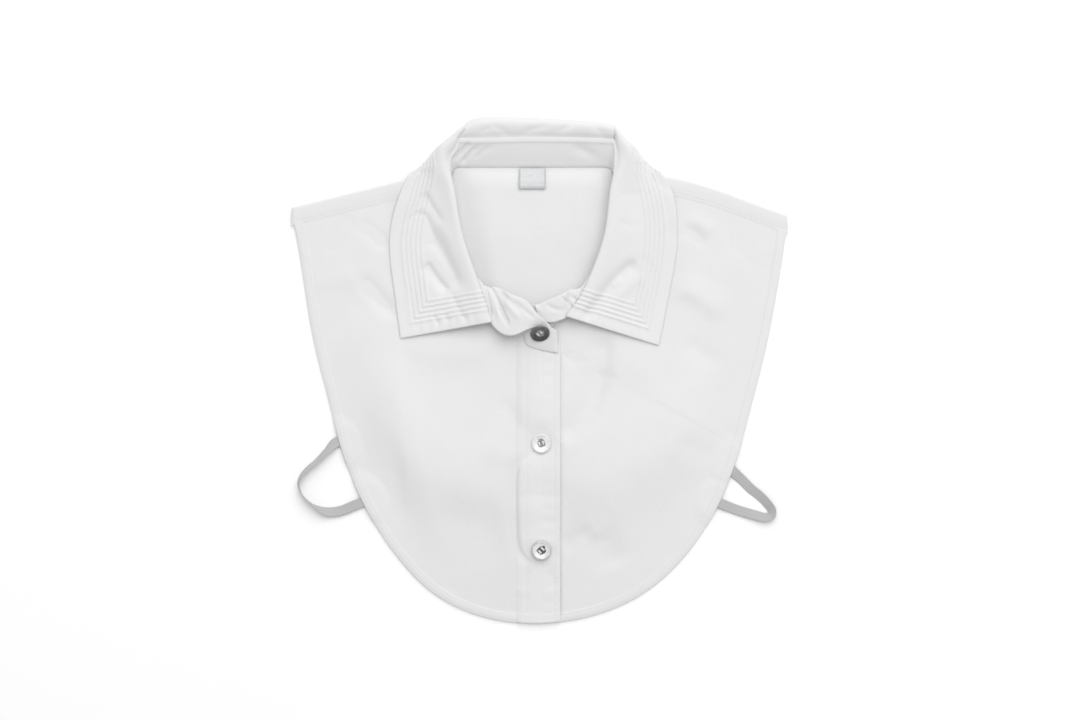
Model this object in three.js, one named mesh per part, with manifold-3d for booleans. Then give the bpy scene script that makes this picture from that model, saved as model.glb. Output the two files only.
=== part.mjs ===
// A white cotton dickey, a shirt collar on a short bib, lying on its back on a flat surface.
// Millimetres, +Z up. The neck opens towards +Y and the hem lies towards -Y.
// Every cloth piece is a thin closed solid: a grid of points on the lie of the cloth, given its thickness.

import * as THREE from 'three';
import { mergeVertices } from 'three/addons/utils/BufferGeometryUtils.js';
import Module from 'manifold-3d';

const wasm = await Module();
wasm.setup();

// Driving dimensions
const chestWidth = 372; // across the two shoulder tips
const bibDrop = 335; // from the neck corner down to the lowest point of the hem
const hemMiddle = -5; // the hem's lowest point, off the middle line
const shoulderDrop = { left: 24, right: 30 }; // neck corner down to each shoulder tip
const shoulderBend = { left: [0.26, 0.22], right: [0.44, 0.25] }; // shares out and down where the slope changes
const backInset = 2.5; // the back panel is cut this much smaller than the front
const yokeDrop = 13.5; // the back wraps this far over the shoulder to the front seam
const cloth = 1.0; // one layer of cotton
const collarCloth = 1.4; // interfaced cotton of the collar and stand
const gap = 0.3; // clearance between pieces that lie on each other
const seamGap = 1.1; // clearance between pieces that are sewn edge to edge
const seamTuck = 3; // how far one panel reaches under the next at a seam
const neckWidth = 124;
const neckLength = 136;
const standHeight = 28;
const leafWidth = 52; // from the roll to the leaf's outer edge at the side
const rollHeight = 15.5; // the collar's roll above the surface
const frontLoft = 2.6; // how far the middle of a front panel bellies up
const neckLoft = 2.0; // how much the front is lifted where the stand is sewn on
const foldDepth = 2.4; // the deepest fold of the front panels
const placketWidth = 32;
const placketLeft = -17;
const placketCloth = 1.3;
const placketTop = -134; // where the placket meets the stand, below the neck corner
const buttonDiameter = 15;
const buttonThickness = 2.6;
const buttonHole = 1.6;
const buttonHoleCircle = 4.2;
const topButtonShank = 0.7; // thread between the stand and the top button
const buttonPitch = 80;
const buttonAcross = 1.2;
const topButtonDrop = 120; // the top button's centre below the neck corner
const topButtonRise = 0.19; // how far up the stand the top button sits, as a share of its section
const elasticWidth = 6.75;
const elasticCloth = 0.9;
const labelWidth = 19.5;
const labelLength = 14.5;
const labelCloth = 0.8;
const labelAcross = -5.5;

const halfChest = chestWidth / 2;
const halfNeck = neckWidth / 2;

// The bib's edge: how far down each side, and how far out as a share of half the chest
const bibRows = [
  { down: 0.0, left: 1.0, right: 0.998 },
  { down: 0.11, left: 0.966, right: 0.974 },
  { down: 0.31, left: 0.911, right: 0.914 },
  { down: 0.46, left: 0.849, right: 0.853 },
  { down: 0.6, left: 0.786, right: 0.789 },
  { down: 0.73, left: 0.692, right: 0.7 },
  { down: 0.846, left: 0.563, right: 0.567 },
  { down: 0.93, left: 0.42, right: 0.405 },
  { down: 0.981, left: 0.242, right: 0.208 },
];

// Folds of the front: ends as shares of half the chest and of the bib's drop, width as a share of the
// chest, height as a share of the fold depth
const foldRows = [
  { name: 'left armhole dent', x1: -0.66, y1: 0.25, x2: -0.575, y2: 0.32, width: 0.022, height: -0.5 },
  { name: 'left shoulder ridge', x1: -0.76, y1: 0.1, x2: -0.61, y2: 0.165, width: 0.028, height: 0.35 },
  { name: 'left drag ridge', x1: -0.6, y1: 0.56, x2: -0.16, y2: 0.67, width: 0.06, height: 0.6 },
  { name: 'left lower hollow', x1: -0.5, y1: 0.72, x2: -0.2, y2: 0.78, width: 0.075, height: -0.6 },
  { name: 'left strap dent', x1: -0.68, y1: 0.7, x2: -0.62, y2: 0.73, width: 0.02, height: -0.4 },
  { name: 'placket hollow', x1: -0.14, y1: 0.64, x2: -0.12, y2: 0.88, width: 0.03, height: -0.5 },
  { name: 'hem hollow', x1: -0.17, y1: 0.95, x2: -0.04, y2: 0.95, width: 0.03, height: -0.4 },
  { name: 'right collar fold', x1: 0.26, y1: 0.38, x2: 0.19, y2: 0.52, width: 0.03, height: 0.45 },
  { name: 'right drag ridge', x1: 0.2, y1: 0.68, x2: 0.58, y2: 0.57, width: 0.06, height: 0.55 },
  { name: 'right lower hollow', x1: 0.25, y1: 0.8, x2: 0.55, y2: 0.7, width: 0.07, height: -0.5 },
  { name: 'right shoulder ripple', x1: 0.58, y1: 0.13, x2: 0.68, y2: 0.16, width: 0.024, height: 0.35 },
  { name: 'right armhole hollow', x1: 0.78, y1: 0.14, x2: 0.87, y2: 0.21, width: 0.04, height: -0.4 },
];

// The collar from the photo-left front end round the back to the right one. neck: shares of half the
// neck's width and of its length. top: from there to the stand's top edge, and fold: to the stand's
// inmost line, in shares of the stand's height, half of top where it isn't given. turn and edge: from the top edge to the leaf's
// turning line and outer edge, in shares of the leaf's width. crest: share of the roll's height.
// under: 1 where the leaf passes under the back panel, 0 where it lies on the front.
const collarRows = [
  { name: 'left tip', neck: [0.21, -0.969], top: [-0.12, 0.53], crest: 1.15, level: true },
  { name: 'left button', neck: [0.06, -0.958], fold: [0.11, 0.66], top: [0.03, 0.64], crest: 1.42 },
  { name: 'left roll', neck: [-0.13, -0.925], fold: [0.22, 0.78], top: [0.03, 0.42], crest: 1.44 },
  { name: 'left band', neck: [-0.29, -0.85], fold: [0.29, 0.75], top: [-0.03, -0.12], crest: 1.15 },
  { name: 'left start', neck: [-0.44, -0.77], fold: [0.21, 0.56], top: [0.0, -0.48], crest: 1.0 },
  { name: 'left front end', neck: [-0.575, -0.704], fold: [0.19, 0.4], top: [-0.04, -0.48], crest: 0.9,
    turn: [-0.32, -0.07], edge: [-1.29, -0.23], under: 0 },
  { name: 'left low', neck: [-0.744, -0.605], fold: [0.07, 0.1], top: [0.07, -0.16], crest: 0.92,
    turn: [-0.32, -0.01], edge: [-1.21, -0.2], under: 0 },
  { name: 'left high', neck: [-0.97, -0.33], top: [0.06, 0.02], crest: 0.92,
    turn: [-0.32, 0.02], edge: [-1.03, -0.02], under: 0 },
  { name: 'left shoulder front', neck: [-1.058, -0.081], top: [0.03, 0.08], crest: 0.94,
    turn: [-0.27, 0.04], edge: [-0.76, -0.09], under: 0 },
  { name: 'left shoulder', neck: [-1.071, -0.004], top: [-0.04, 0.21], crest: 0.97,
    turn: [-0.29, 0.15], edge: [-0.55, -0.07], under: 0.5 },
  { name: 'left shoulder back', neck: [-1.046, 0.035], top: [-0.08, 0.29], crest: 1.0,
    turn: [-0.16, 0.16], edge: [-0.36, -0.2], under: 1 },
  { name: 'left corner', neck: [-0.986, 0.051], top: [-0.05, 0.51], crest: 1.0,
    turn: [-0.03, 0.18], edge: [-0.23, -0.55], under: 1 },
  { name: 'left back', neck: [-0.841, 0.051], top: [0.05, 0.72], crest: 0.95,
    turn: [0.01, 0.28], edge: [-0.14, -0.63], under: 1 },
  { name: 'back middle', neck: [0.006, 0.051], top: [0.0, 0.76], crest: 0.9,
    turn: [0.0, 0.27], edge: [0.0, -0.66], under: 1 },
  { name: 'right back', neck: [0.768, 0.051], top: [0.16, 0.71], crest: 0.95,
    turn: [0.03, 0.21], edge: [0.01, -0.63], under: 1 },
  { name: 'right corner', neck: [0.841, 0.046], top: [0.17, 0.48], crest: 1.0,
    turn: [0.11, 0.17], edge: [0.24, -0.5], under: 1 },
  { name: 'right shoulder back', neck: [0.877, 0.035], top: [0.08, 0.26], crest: 1.0,
    turn: [0.25, 0.19], edge: [0.48, -0.14], under: 1 },
  { name: 'right shoulder', neck: [0.901, -0.009], top: [0.01, 0.21], crest: 0.97,
    turn: [0.37, 0.18], edge: [0.65, -0.05], under: 0.5 },
  { name: 'right shoulder front', neck: [0.877, -0.092], top: [-0.03, 0.1], crest: 0.94,
    turn: [0.3, 0.04], edge: [0.87, -0.04], under: 0 },
  { name: 'right high', neck: [0.8, -0.35], top: [-0.04, 0.05], crest: 0.92,
    turn: [0.31, 0.03], edge: [1.04, -0.02], under: 0 },
  { name: 'right low', neck: [0.538, -0.643], fold: [-0.1, 0.12], top: [-0.08, -0.11], crest: 0.88,
    turn: [0.32, -0.03], edge: [1.21, -0.2], under: 0 },
  { name: 'right front end', neck: [0.369, -0.721], fold: [0.0, 0.45], top: [-0.08, -0.25], crest: 0.85,
    turn: [0.32, -0.09], edge: [1.31, -0.41], under: 0 },
  { name: 'right start', neck: [0.224, -0.792], fold: [0.16, 0.7], top: [0.05, 0.0], crest: 0.84 },
  { name: 'right band', neck: [0.091, -0.858], fold: [0.05, 0.84], top: [0.05, 0.26], crest: 0.84 },
  { name: 'right hidden', neck: [-0.054, -0.903], fold: [0.0, 0.9], top: [0.08, 0.55], crest: 0.84 },
];

// Each elastic: its middle line as shares of half the chest and of the bib's drop, and its roll in degrees
const strapRows = {
  left: [
    { x: -0.79, y: 0.597, roll: 0 },
    { x: -0.815, y: 0.594, roll: 5 },
    { x: -0.861, y: 0.617, roll: 50 },
    { x: -0.898, y: 0.638, roll: 58 },
    { x: -0.934, y: 0.654, roll: 64 },
    { x: -0.958, y: 0.669, roll: 68 },
    { x: -0.97, y: 0.684, roll: 74 },
    { x: -0.966, y: 0.702, roll: 82 },
    { x: -0.946, y: 0.72, roll: 88 },
    { x: -0.917, y: 0.734, roll: 94 },
    { x: -0.887, y: 0.744, roll: 118 },
    { x: -0.85, y: 0.751, roll: 156 },
    { x: -0.8, y: 0.748, roll: 166 },
    { x: -0.745, y: 0.736, roll: 176 },
    { x: -0.69, y: 0.723, roll: 180 },
  ],
  right: [
    { x: 0.75, y: 0.64, roll: 0 },
    { x: 0.78, y: 0.66, roll: 2 },
    { x: 0.817, y: 0.68, roll: 8 },
    { x: 0.849, y: 0.698, roll: 14 },
    { x: 0.889, y: 0.716, roll: 22 },
    { x: 0.919, y: 0.735, roll: 34 },
    { x: 0.939, y: 0.752, roll: 62 },
    { x: 0.937, y: 0.768, roll: 108 },
    { x: 0.909, y: 0.768, roll: 152 },
    { x: 0.873, y: 0.763, roll: 162 },
    { x: 0.833, y: 0.756, roll: 170 },
    { x: 0.788, y: 0.747, roll: 176 },
    { x: 0.738, y: 0.735, roll: 180 },
    { x: 0.7, y: 0.724, roll: 180 },
  ],
};

const lerp = THREE.MathUtils.lerp;
const smoothstep = THREE.MathUtils.smoothstep;
const vec = (x, y, z = 0) => new THREE.Vector3(x, y, z);
const curve = (points) => new THREE.CatmullRomCurve3(points, false, 'centripetal');
const white = (name, grey) => new THREE.MeshStandardMaterial({ name, color: grey, roughness: 0.9, metalness: 0 });
const cotton = white('cotton', 0xececec);
const elasticMaterial = white('elastic', 0xc6c6c6);
const labelMaterial = white('label_satin', 0xe2e2e2);
const buttonMaterial = new THREE.MeshStandardMaterial({ name: 'button_resin', color: 0xc9c9cb, roughness: 0.2, metalness: 0.1 });

// A closed mesh from vertices and triangles, with its faces turned outwards
function solid(positions, triangles) {
  let volume = 0;
  const corner = (i) => vec(...positions.slice(3 * i, 3 * i + 3));
  for (let i = 0; i < triangles.length; i += 3) {
    const [a, b, c] = [corner(triangles[i]), corner(triangles[i + 1]), corner(triangles[i + 2])];
    volume += a.dot(b.cross(c));
  }
  const turned = volume < 0 ? triangles.map((_, i) => triangles[i - (i % 3) + [0, 2, 1][i % 3]]) : triangles;
  const geometry = new THREE.BufferGeometry();
  geometry.setAttribute('position', new THREE.Float32BufferAttribute(positions, 3));
  geometry.setIndex(turned);
  geometry.computeVertexNormals();
  return geometry;
}

// A sheet with thickness: rows[i][j] are points on its middle surface
function sheet(rows, thickness) {
  const count = rows.length;
  const width = rows[0].length;
  const offset = count * width;
  const lower = [];
  const upper = [];
  const at = (i, j) => rows[Math.min(Math.max(i, 0), count - 1)][Math.min(Math.max(j, 0), width - 1)];
  for (let i = 0; i < count; i += 1) {
    for (let j = 0; j < width; j += 1) {
      const along = at(i + 1, j).clone().sub(at(i - 1, j));
      const across = at(i, j + 1).clone().sub(at(i, j - 1));
      const normal = along.cross(across).normalize().multiplyScalar(thickness / 2);
      lower.push(...at(i, j).clone().sub(normal).toArray());
      upper.push(...at(i, j).clone().add(normal).toArray());
    }
  }
  const triangles = [];
  const quad = (a, b, c, d) => triangles.push(a, b, c, a, c, d);
  const index = (i, j) => i * width + j;
  for (let i = 0; i < count - 1; i += 1) {
    for (let j = 0; j < width - 1; j += 1) {
      const [a, b, c, d] = [index(i, j), index(i + 1, j), index(i + 1, j + 1), index(i, j + 1)];
      quad(a, d, c, b);
      quad(a + offset, b + offset, c + offset, d + offset);
    }
  }
  const rim = [];
  for (let j = 0; j < width - 1; j += 1) rim.push(index(0, j));
  for (let i = 0; i < count - 1; i += 1) rim.push(index(i, width - 1));
  for (let j = width - 1; j > 0; j -= 1) rim.push(index(count - 1, j));
  for (let i = count - 1; i > 0; i -= 1) rim.push(index(i, 0));
  rim.forEach((a, k) => {
    const b = rim[(k + 1) % rim.length];
    quad(b, a, a + offset, b + offset);
  });
  return solid([...lower, ...upper], triangles);
}

function grid(rowCount, columnCount, place) {
  const rows = [];
  for (let i = 0; i <= rowCount; i += 1) {
    const row = [];
    for (let j = 0; j <= columnCount; j += 1) row.push(place(i / rowCount, j / columnCount));
    rows.push(row);
  }
  return rows;
}

// The bib's edge from the left shoulder tip round the hem to the right one
function bibEdge(inset) {
  const point = (row, side) => {
    const tip = -shoulderDrop[side];
    const sign = side === 'left' ? -1 : 1;
    const aside = inset * smoothstep(row.down, 0, 0.3);
    return vec(sign * (row[side] * halfChest - aside), lerp(tip, -bibDrop + inset, row.down));
  };
  const left = bibRows.map((row) => point(row, 'left'));
  const right = bibRows.map((row) => point(row, 'right')).reverse();
  return curve([...left, vec(hemMiddle, -bibDrop + inset), ...right]);
}

const frontEdge = bibEdge(0);
const edgeSamples = frontEdge.getSpacedPoints(240);

// How far out the front's edge is at a height, on the side of x
function edgeAcross(x, y) {
  const side = edgeSamples.filter((p) => (p.x - hemMiddle) * (x - hemMiddle) >= 0);
  const near = side.reduce((best, p) => (Math.abs(p.y - y) < Math.abs(best.y - y) ? p : best));
  return Math.abs(near.x);
}

// The same curve run the other way
const reversed = (path) => ({ getPointAt: (share) => path.getPointAt(1 - share) });

// The share along a curve at which a test first turns true
function shareWhere(path, test) {
  const steps = 400;
  for (let k = 0; k <= steps; k += 1) if (test(path.getPointAt(k / steps))) return k / steps;
  return 1;
}

// A bump that is level within reach of a point and fades out beyond it
function bump(x, y, cx, cy, reach, fade) {
  return 1 - smoothstep(Math.hypot(x - cx, y - cy), reach, reach + fade);
}

function distanceToLine(x, y, row) {
  const [x1, y1] = [row.x1 * halfChest, -row.y1 * bibDrop];
  const [x2, y2] = [row.x2 * halfChest, -row.y2 * bibDrop];
  const [dx, dy] = [x2 - x1, y2 - y1];
  const share = THREE.MathUtils.clamp(((x - x1) * dx + (y - y1) * dy) / (dx * dx + dy * dy), 0, 1);
  return Math.hypot(x - x1 - share * dx, y - y1 - share * dy);
}

const strapEnds = ['left', 'right'].flatMap((side) => [strapRows[side][0], strapRows[side].at(-1)])
  .map((row) => vec(row.x * halfChest, -row.y * bibDrop));

// The lie of the cloth: the underside of the back panel and of the front panels
function backBottom(x, y) {
  const nearNeck = smoothstep(y, -1.5 * leafWidth, -0.7 * leafWidth);
  const withinLeaf = 1 - smoothstep(Math.abs(x), halfNeck + 0.66 * leafWidth, halfNeck + 1.1 * leafWidth);
  return (collarCloth + gap) * nearNeck * withinLeaf;
}

function frontBottom(x, y) {
  const across = edgeAcross(x, Math.max(y, -bibDrop + 1));
  const fade = (1 - smoothstep(Math.abs(x) / across, 0.6, 0.98)) * smoothstep(y, -bibDrop, -0.86 * bibDrop);
  const shoulder = 1 - smoothstep(y, -0.2 * bibDrop, -0.02 * bibDrop);
  const nearNeck = bump(x, y, 0, -neckLength, 0.2 * neckWidth, 0.6 * neckWidth);
  let height = frontLoft * fade * shoulder + neckLoft * nearNeck;
  for (const row of foldRows) {
    const spread = distanceToLine(x, y, row) / (row.width * chestWidth);
    height += foldDepth * row.height * Math.exp(-spread * spread) * (0.3 + 0.7 * fade);
  }
  const overStrap = Math.max(...strapEnds.map((p) => bump(x, y, p.x, p.y, 1.5 * elasticWidth, 2 * elasticWidth)));
  const least = (elasticCloth + gap) * overStrap;
  return backBottom(x, y) + cloth + gap + Math.max(height, least, 0);
}

// The collar's lines in plan, one point for each row
const neckPoint = (row) => vec(row.neck[0] * halfNeck, row.neck[1] * neckLength);
const topPoint = (row) => neckPoint(row).add(vec(row.top[0] * standHeight, row.top[1] * standHeight));
const foldPoint = (row) => {
  const [x, y] = row.fold ?? [row.top[0] / 2, row.top[1] / 2];
  return neckPoint(row).add(vec(x * standHeight, y * standHeight));
};
const leafRows = collarRows.filter((row) => row.edge);
const neckLine = curve(collarRows.map(neckPoint));

// The neck edge that the panels are cut to: the neck line moved off the stand, outwards on the front
// and towards the hem on the back
function neckEdge(share) {
  const point = neckLine.getPoint(share);
  const along = neckLine.getPoint(Math.min(share + 0.01, 1)).sub(neckLine.getPoint(Math.max(share - 0.01, 0)));
  const row = collarRows[Math.round(share * (collarRows.length - 1))];
  const away = vec(-along.y, along.x).normalize().lerp(vec(0, -1), row.under ?? 0).normalize();
  return point.add(away.multiplyScalar(collarCloth / 2 + seamGap));
}

const rowShare = (name) => collarRows.findIndex((row) => row.name === name) / (collarRows.length - 1);

// The shoulder line of each side, where the back folds over to the front
function shoulderLine(side) {
  const corner = neckEdge(rowShare(`${side} shoulder back`)).add(vec(0, seamGap));
  const tip = vec((side === 'left' ? -1 : 1) * halfChest * bibRows[0][side], -shoulderDrop[side]);
  const [out, down] = shoulderBend[side];
  return curve([tip, vec(lerp(corner.x, tip.x, out), lerp(corner.y, tip.y, down)), corner]);
}

const shoulders = { left: shoulderLine('left'), right: shoulderLine('right') };
const sideOf = (x) => (x < 0 ? 'left' : 'right');

// Height of the shoulder line at x, carried on level past its ends
function shoulderAt(x) {
  const points = shoulders[sideOf(x)].getPoints(40);
  const near = points.reduce((best, p) => (Math.abs(p.x - x) < Math.abs(best.x - x) ? p : best));
  return near.y;
}

// Puts a point of the unfolded back into place: past the shoulder line it turns over to the front
function overShoulder(x, y) {
  const corner = shoulders[sideOf(x)].getPoint(1).x;
  const line = Math.abs(x) > Math.abs(corner) ? shoulderAt(x) : standHeight;
  const beyond = y - line;
  const low = backBottom(x, Math.min(y, line)) + cloth / 2;
  const folded = line - Math.abs(beyond);
  const high = frontBottom(x, folded) + cloth + gap + cloth / 2;
  const radius = (high - low) / 2;
  const quarter = (Math.PI / 2) * radius;
  if (beyond < -quarter) return vec(x, line - radius + beyond + quarter, low);
  if (beyond > quarter) return vec(x, line - radius - (beyond - quarter), high);
  const angle = beyond / radius;
  return vec(x, line - radius + radius * Math.cos(angle), low + radius + radius * Math.sin(angle));
}

// The highest cloth of the body at a point, for what lies on it
function bodyTop(x, y) {
  const yoke = shoulderAt(x) - yokeDrop;
  const overYoke = smoothstep(y, yoke - 4, yoke - 1);
  return frontBottom(x, y) + cloth + (cloth + gap) * overYoke;
}

// The shares at which a line of the unfolded back is sampled, closely where it turns over the shoulder
function backSteps(from, to) {
  const rise = to.y - from.y;
  const beyond = (share) => lerp(from.y, to.y, share) - shoulderAt(lerp(from.x, to.x, share));
  let crossing = 1;
  for (let k = 0; k < 3; k += 1) crossing = Math.min(crossing - beyond(crossing) / rise, 1);
  const turn = 2.4 * cloth;
  const overShoulderLine = Math.abs(to.x) > Math.abs(shoulders[sideOf(to.x)].getPoint(1).x) - 1;
  const [first, last] = overShoulderLine && beyond(1) > turn
    ? [crossing - turn / rise, crossing + turn / rise]
    : [1 - (3 * turn) / rise, 1 - turn / rise];
  const spread = (a, b, count) => Array.from({ length: count }, (_, k) => lerp(a, b, k / count));
  return [...spread(0, first, 6), ...spread(first, last, 4), ...spread(last, 1, 2), 1];
}

function backPanel() {
  const edge = bibEdge(backInset);
  const start = shareWhere(edge, (p) => p.y < -shoulderDrop.left - 9);
  const finish = 1 - shareWhere(reversed(edge), (p) => p.y < -shoulderDrop.right - 9);
  const seam = (side, share) => {
    const point = shoulders[side].getPointAt(share);
    return vec(point.x, point.y + yokeDrop);
  };
  const top = [];
  for (const share of [0, 0.2, 0.4, 0.6, 0.8, 0.95]) top.push(seam('left', share));
  for (const name of ['left shoulder', 'left corner', 'left back', 'back middle', 'right back',
    'right corner', 'right shoulder']) top.push(neckEdge(rowShare(name)));
  for (const share of [0.95, 0.8, 0.6, 0.4, 0.2, 0]) top.push(seam('right', share));
  const topLine = curve(top);
  const rows = [];
  const columns = 44;
  for (let k = 0; k <= columns; k += 1) {
    const from = edge.getPointAt(lerp(start, finish, k / columns));
    const to = topLine.getPoint(k / columns);
    rows.push(backSteps(from, to).map((share) => overShoulder(lerp(from.x, to.x, share), lerp(from.y, to.y, share))));
  }
  return sheet(rows, cloth);
}

// One front panel, drawn as lines from the armhole and hem in to the neck and placket
function frontPanel(side) {
  const isLeft = side === 'left';
  const inner = isLeft ? placketLeft + seamTuck : placketLeft + seamTuck + seamGap;
  const seamAt = (p) => shoulderAt(p.x) - yokeDrop + seamTuck;
  const path = isLeft ? frontEdge : reversed(frontEdge);
  const start = shareWhere(path, (p) => p.y < seamAt(p));
  const finish = shareWhere(path, (p) => (isLeft ? p.x > inner : p.x < inner));
  const necks = isLeft ? [0.09, rowShare('left shoulder front')] : [0.97, rowShare('right shoulder front')];
  const neckPoints = [0, 0.25, 0.5, 0.75, 1].map((share) => neckEdge(lerp(necks[1], necks[0], share)));
  const neckStart = neckPoints[0];
  neckPoints[0] = vec(neckStart.x, Math.min(neckStart.y, seamAt(neckStart)));
  const rim = curve(neckPoints);
  const neckShare = 0.42;
  const low = -0.9 * bibDrop;
  const high = rim.getPointAt(1).y;
  const keepAside = (point) => point.setX(isLeft ? Math.min(point.x, inner) : Math.max(point.x, inner));
  const rows = grid(24, 11, (along, inward) => {
    const from = keepAside(path.getPointAt(lerp(start, finish, along)));
    const to = keepAside(along < neckShare
      ? rim.getPointAt(along / neckShare)
      : vec(inner, lerp(high, low, (along - neckShare) / (1 - neckShare))));
    const share = inward ** 0.9;
    const x = lerp(from.x, to.x, share);
    const y = lerp(from.y, to.y, share);
    return vec(x, y, frontBottom(x, y) + cloth / 2);
  });
  return sheet(rows, cloth);
}

const placketBottom = (x, y) => frontBottom(x, y) + cloth + gap;

function buttonPlacket() {
  const rows = grid(26, 4, (down, across) => {
    const x = placketLeft + placketWidth * across;
    const hem = edgeSamples.reduce((best, p) => (Math.abs(p.x - x) < Math.abs(best.x - x)
      && p.y < -0.9 * bibDrop ? p : best), vec(1e6, -bibDrop));
    const y = lerp(placketTop, hem.y + 0.6, down);
    return vec(x, y, placketBottom(x, y) + placketCloth / 2);
  });
  return sheet(rows, placketCloth);
}

// Heights of the collar's lines
function neckHeight(row) {
  const point = neckPoint(row);
  const order = collarRows.indexOf(row) / (collarRows.length - 1);
  const ends = row.edge ? 0 : 1;
  const lifted = order < 0.5 ? cloth + placketCloth + 2 * gap : cloth + gap;
  if (point.y > 0) return backBottom(point.x, point.y) + cloth;
  return frontBottom(point.x, point.y) + cloth / 2 + ends * lifted;
}

const crestHeight = (row) => row.crest * rollHeight;
const topHeight = (row) => crestHeight(row) - 2 * collarCloth;

const standLines = [
  collarRows.map((row) => neckPoint(row).setZ(neckHeight(row))),
  collarRows.map((row) => {
    const upright = row.edge || row.level;
    const high = upright ? lerp(neckHeight(row), topHeight(row), row.fold ? 0.8 : 0.55) : crestHeight(row);
    return foldPoint(row).setZ(high);
  }),
  collarRows.map((row) => topPoint(row).setZ(row.edge ? topHeight(row) : crestHeight(row) - collarCloth)),
].map(curve);

// A point of the stand's middle surface: along from the left tip to the right, rise from the neck up
function standPoint(along, rise) {
  return curve(standLines.map((line) => line.getPoint(along))).getPoint(rise);
}

const collarStand = () => sheet(grid(56, 6, standPoint), collarCloth);

// The leaf's cross-section at a row: from the stand's top edge over the roll to the outer edge
function leafSection(row) {
  const seam = topPoint(row);
  const neck = neckPoint(row);
  const turn = seam.clone().add(vec(row.turn[0], row.turn[1]).multiplyScalar(leafWidth));
  const edge = seam.clone().add(vec(row.edge[0], row.edge[1]).multiplyScalar(leafWidth));
  const rise = topHeight(row) - neckHeight(row);
  const lean = seam.distanceTo(neck) / Math.hypot(seam.distanceTo(neck), rise);
  const start = topHeight(row) + (collarCloth / 2) * (1 + lean) + gap;
  const crest = Math.max(crestHeight(row), start + 0.4);
  const rest = (p, lift) => bodyTop(p.x, p.y) + gap + collarCloth / 2 + lift;
  const between = (a, b, share, z) => vec(lerp(a.x, b.x, share), lerp(a.y, b.y, share), z);
  const over = [
    seam.clone().setZ(start),
    between(seam, edge, -0.012, start + 0.5 * (crest - start)),
    between(seam, edge, 0.05, crest),
    between(seam, edge, 0.3, lerp(crest, rest(edge, 0.6), 0.36)),
    between(seam, edge, 0.55, lerp(crest, rest(edge, 0.6), 0.68)),
    between(seam, edge, 0.8, lerp(crest, rest(edge, 0.6), 0.9)),
    edge.clone().setZ(rest(edge, 0.6)),
  ];
  const floor = collarCloth / 2;
  const beneath = [
    seam.clone().setZ(start),
    between(seam, turn, 0.3, lerp(start, crest, 0.8)),
    between(seam, turn, 0.75, crest),
    between(seam, turn, 1, 0.55 * crest),
    between(turn, edge, 0.12, floor + 0.6),
    between(turn, edge, 0.5, floor),
    edge.clone().setZ(floor),
  ];
  return over.map((p, k) => p.lerp(beneath[k], row.under));
}

function collarLeaf() {
  const sections = leafRows.map(leafSection);
  const lines = sections[0].map((_, k) => curve(sections.map((section) => section[k])));
  const rows = grid(52, 10, (along, out) => {
    const point = curve(lines.map((line) => line.getPoint(along))).getPoint(out);
    const clear = gap + collarCloth / 2;
    const { x, y, z } = point;
    if (y > shoulderAt(x) + 2 * collarCloth || Math.abs(x) < halfNeck) return point.setZ(Math.max(z, collarCloth / 2));
    const low = backBottom(x, y);
    return point.setZ(z > low + cloth ? Math.max(z, bodyTop(x, y) + clear) : collarCloth / 2);
  });
  return sheet(rows, collarCloth);
}

function neckLabel() {
  const high = 0.051 * neckLength - collarCloth;
  const rows = grid(3, 3, (along, across) => {
    const x = labelAcross + labelWidth * (across - 0.5);
    const y = high - labelLength * along;
    return vec(x, y, backBottom(x, y) + cloth + gap + labelCloth / 2 + 0.1);
  });
  return sheet(rows, labelCloth);
}

function toManifold(geometry) {
  const bare = geometry.clone();
  bare.deleteAttribute('normal');
  bare.deleteAttribute('uv');
  const merged = mergeVertices(bare, 1e-4);
  return new wasm.Manifold(new wasm.Mesh({
    numProp: 3,
    vertProperties: Float32Array.from(merged.attributes.position.array),
    triVerts: Uint32Array.from(merged.index.array),
  }));
}

function fromManifold(shape) {
  const mesh = shape.getMesh();
  return solid(Array.from(mesh.vertProperties), Array.from(mesh.triVerts));
}

// A four-hole shirt button with a raised rim, its back at z = 0
function buttonBody() {
  const radius = buttonDiameter / 2;
  const profile = [
    [0, 0], [0.8, 0], [1, 0.35], [0.97, 0.8], [0.88, 1], [0.76, 0.86], [0.62, 0.62], [0, 0.62],
  ].map(([across, up]) => new THREE.Vector2(across * radius, up * buttonThickness));
  const turned = new THREE.LatheGeometry(profile, 24);
  turned.rotateX(Math.PI / 2);
  let body = toManifold(turned);
  for (let k = 0; k < 4; k += 1) {
    const angle = Math.PI / 4 + (k * Math.PI) / 2;
    const hole = new THREE.CylinderGeometry(buttonHole / 2, buttonHole / 2, 3 * buttonThickness, 8);
    hole.rotateX(Math.PI / 2);
    hole.translate((Math.cos(angle) * buttonHoleCircle) / 2, (Math.sin(angle) * buttonHoleCircle) / 2, 0);
    body = body.subtract(toManifold(hole));
  }
  return fromManifold(body);
}

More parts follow.
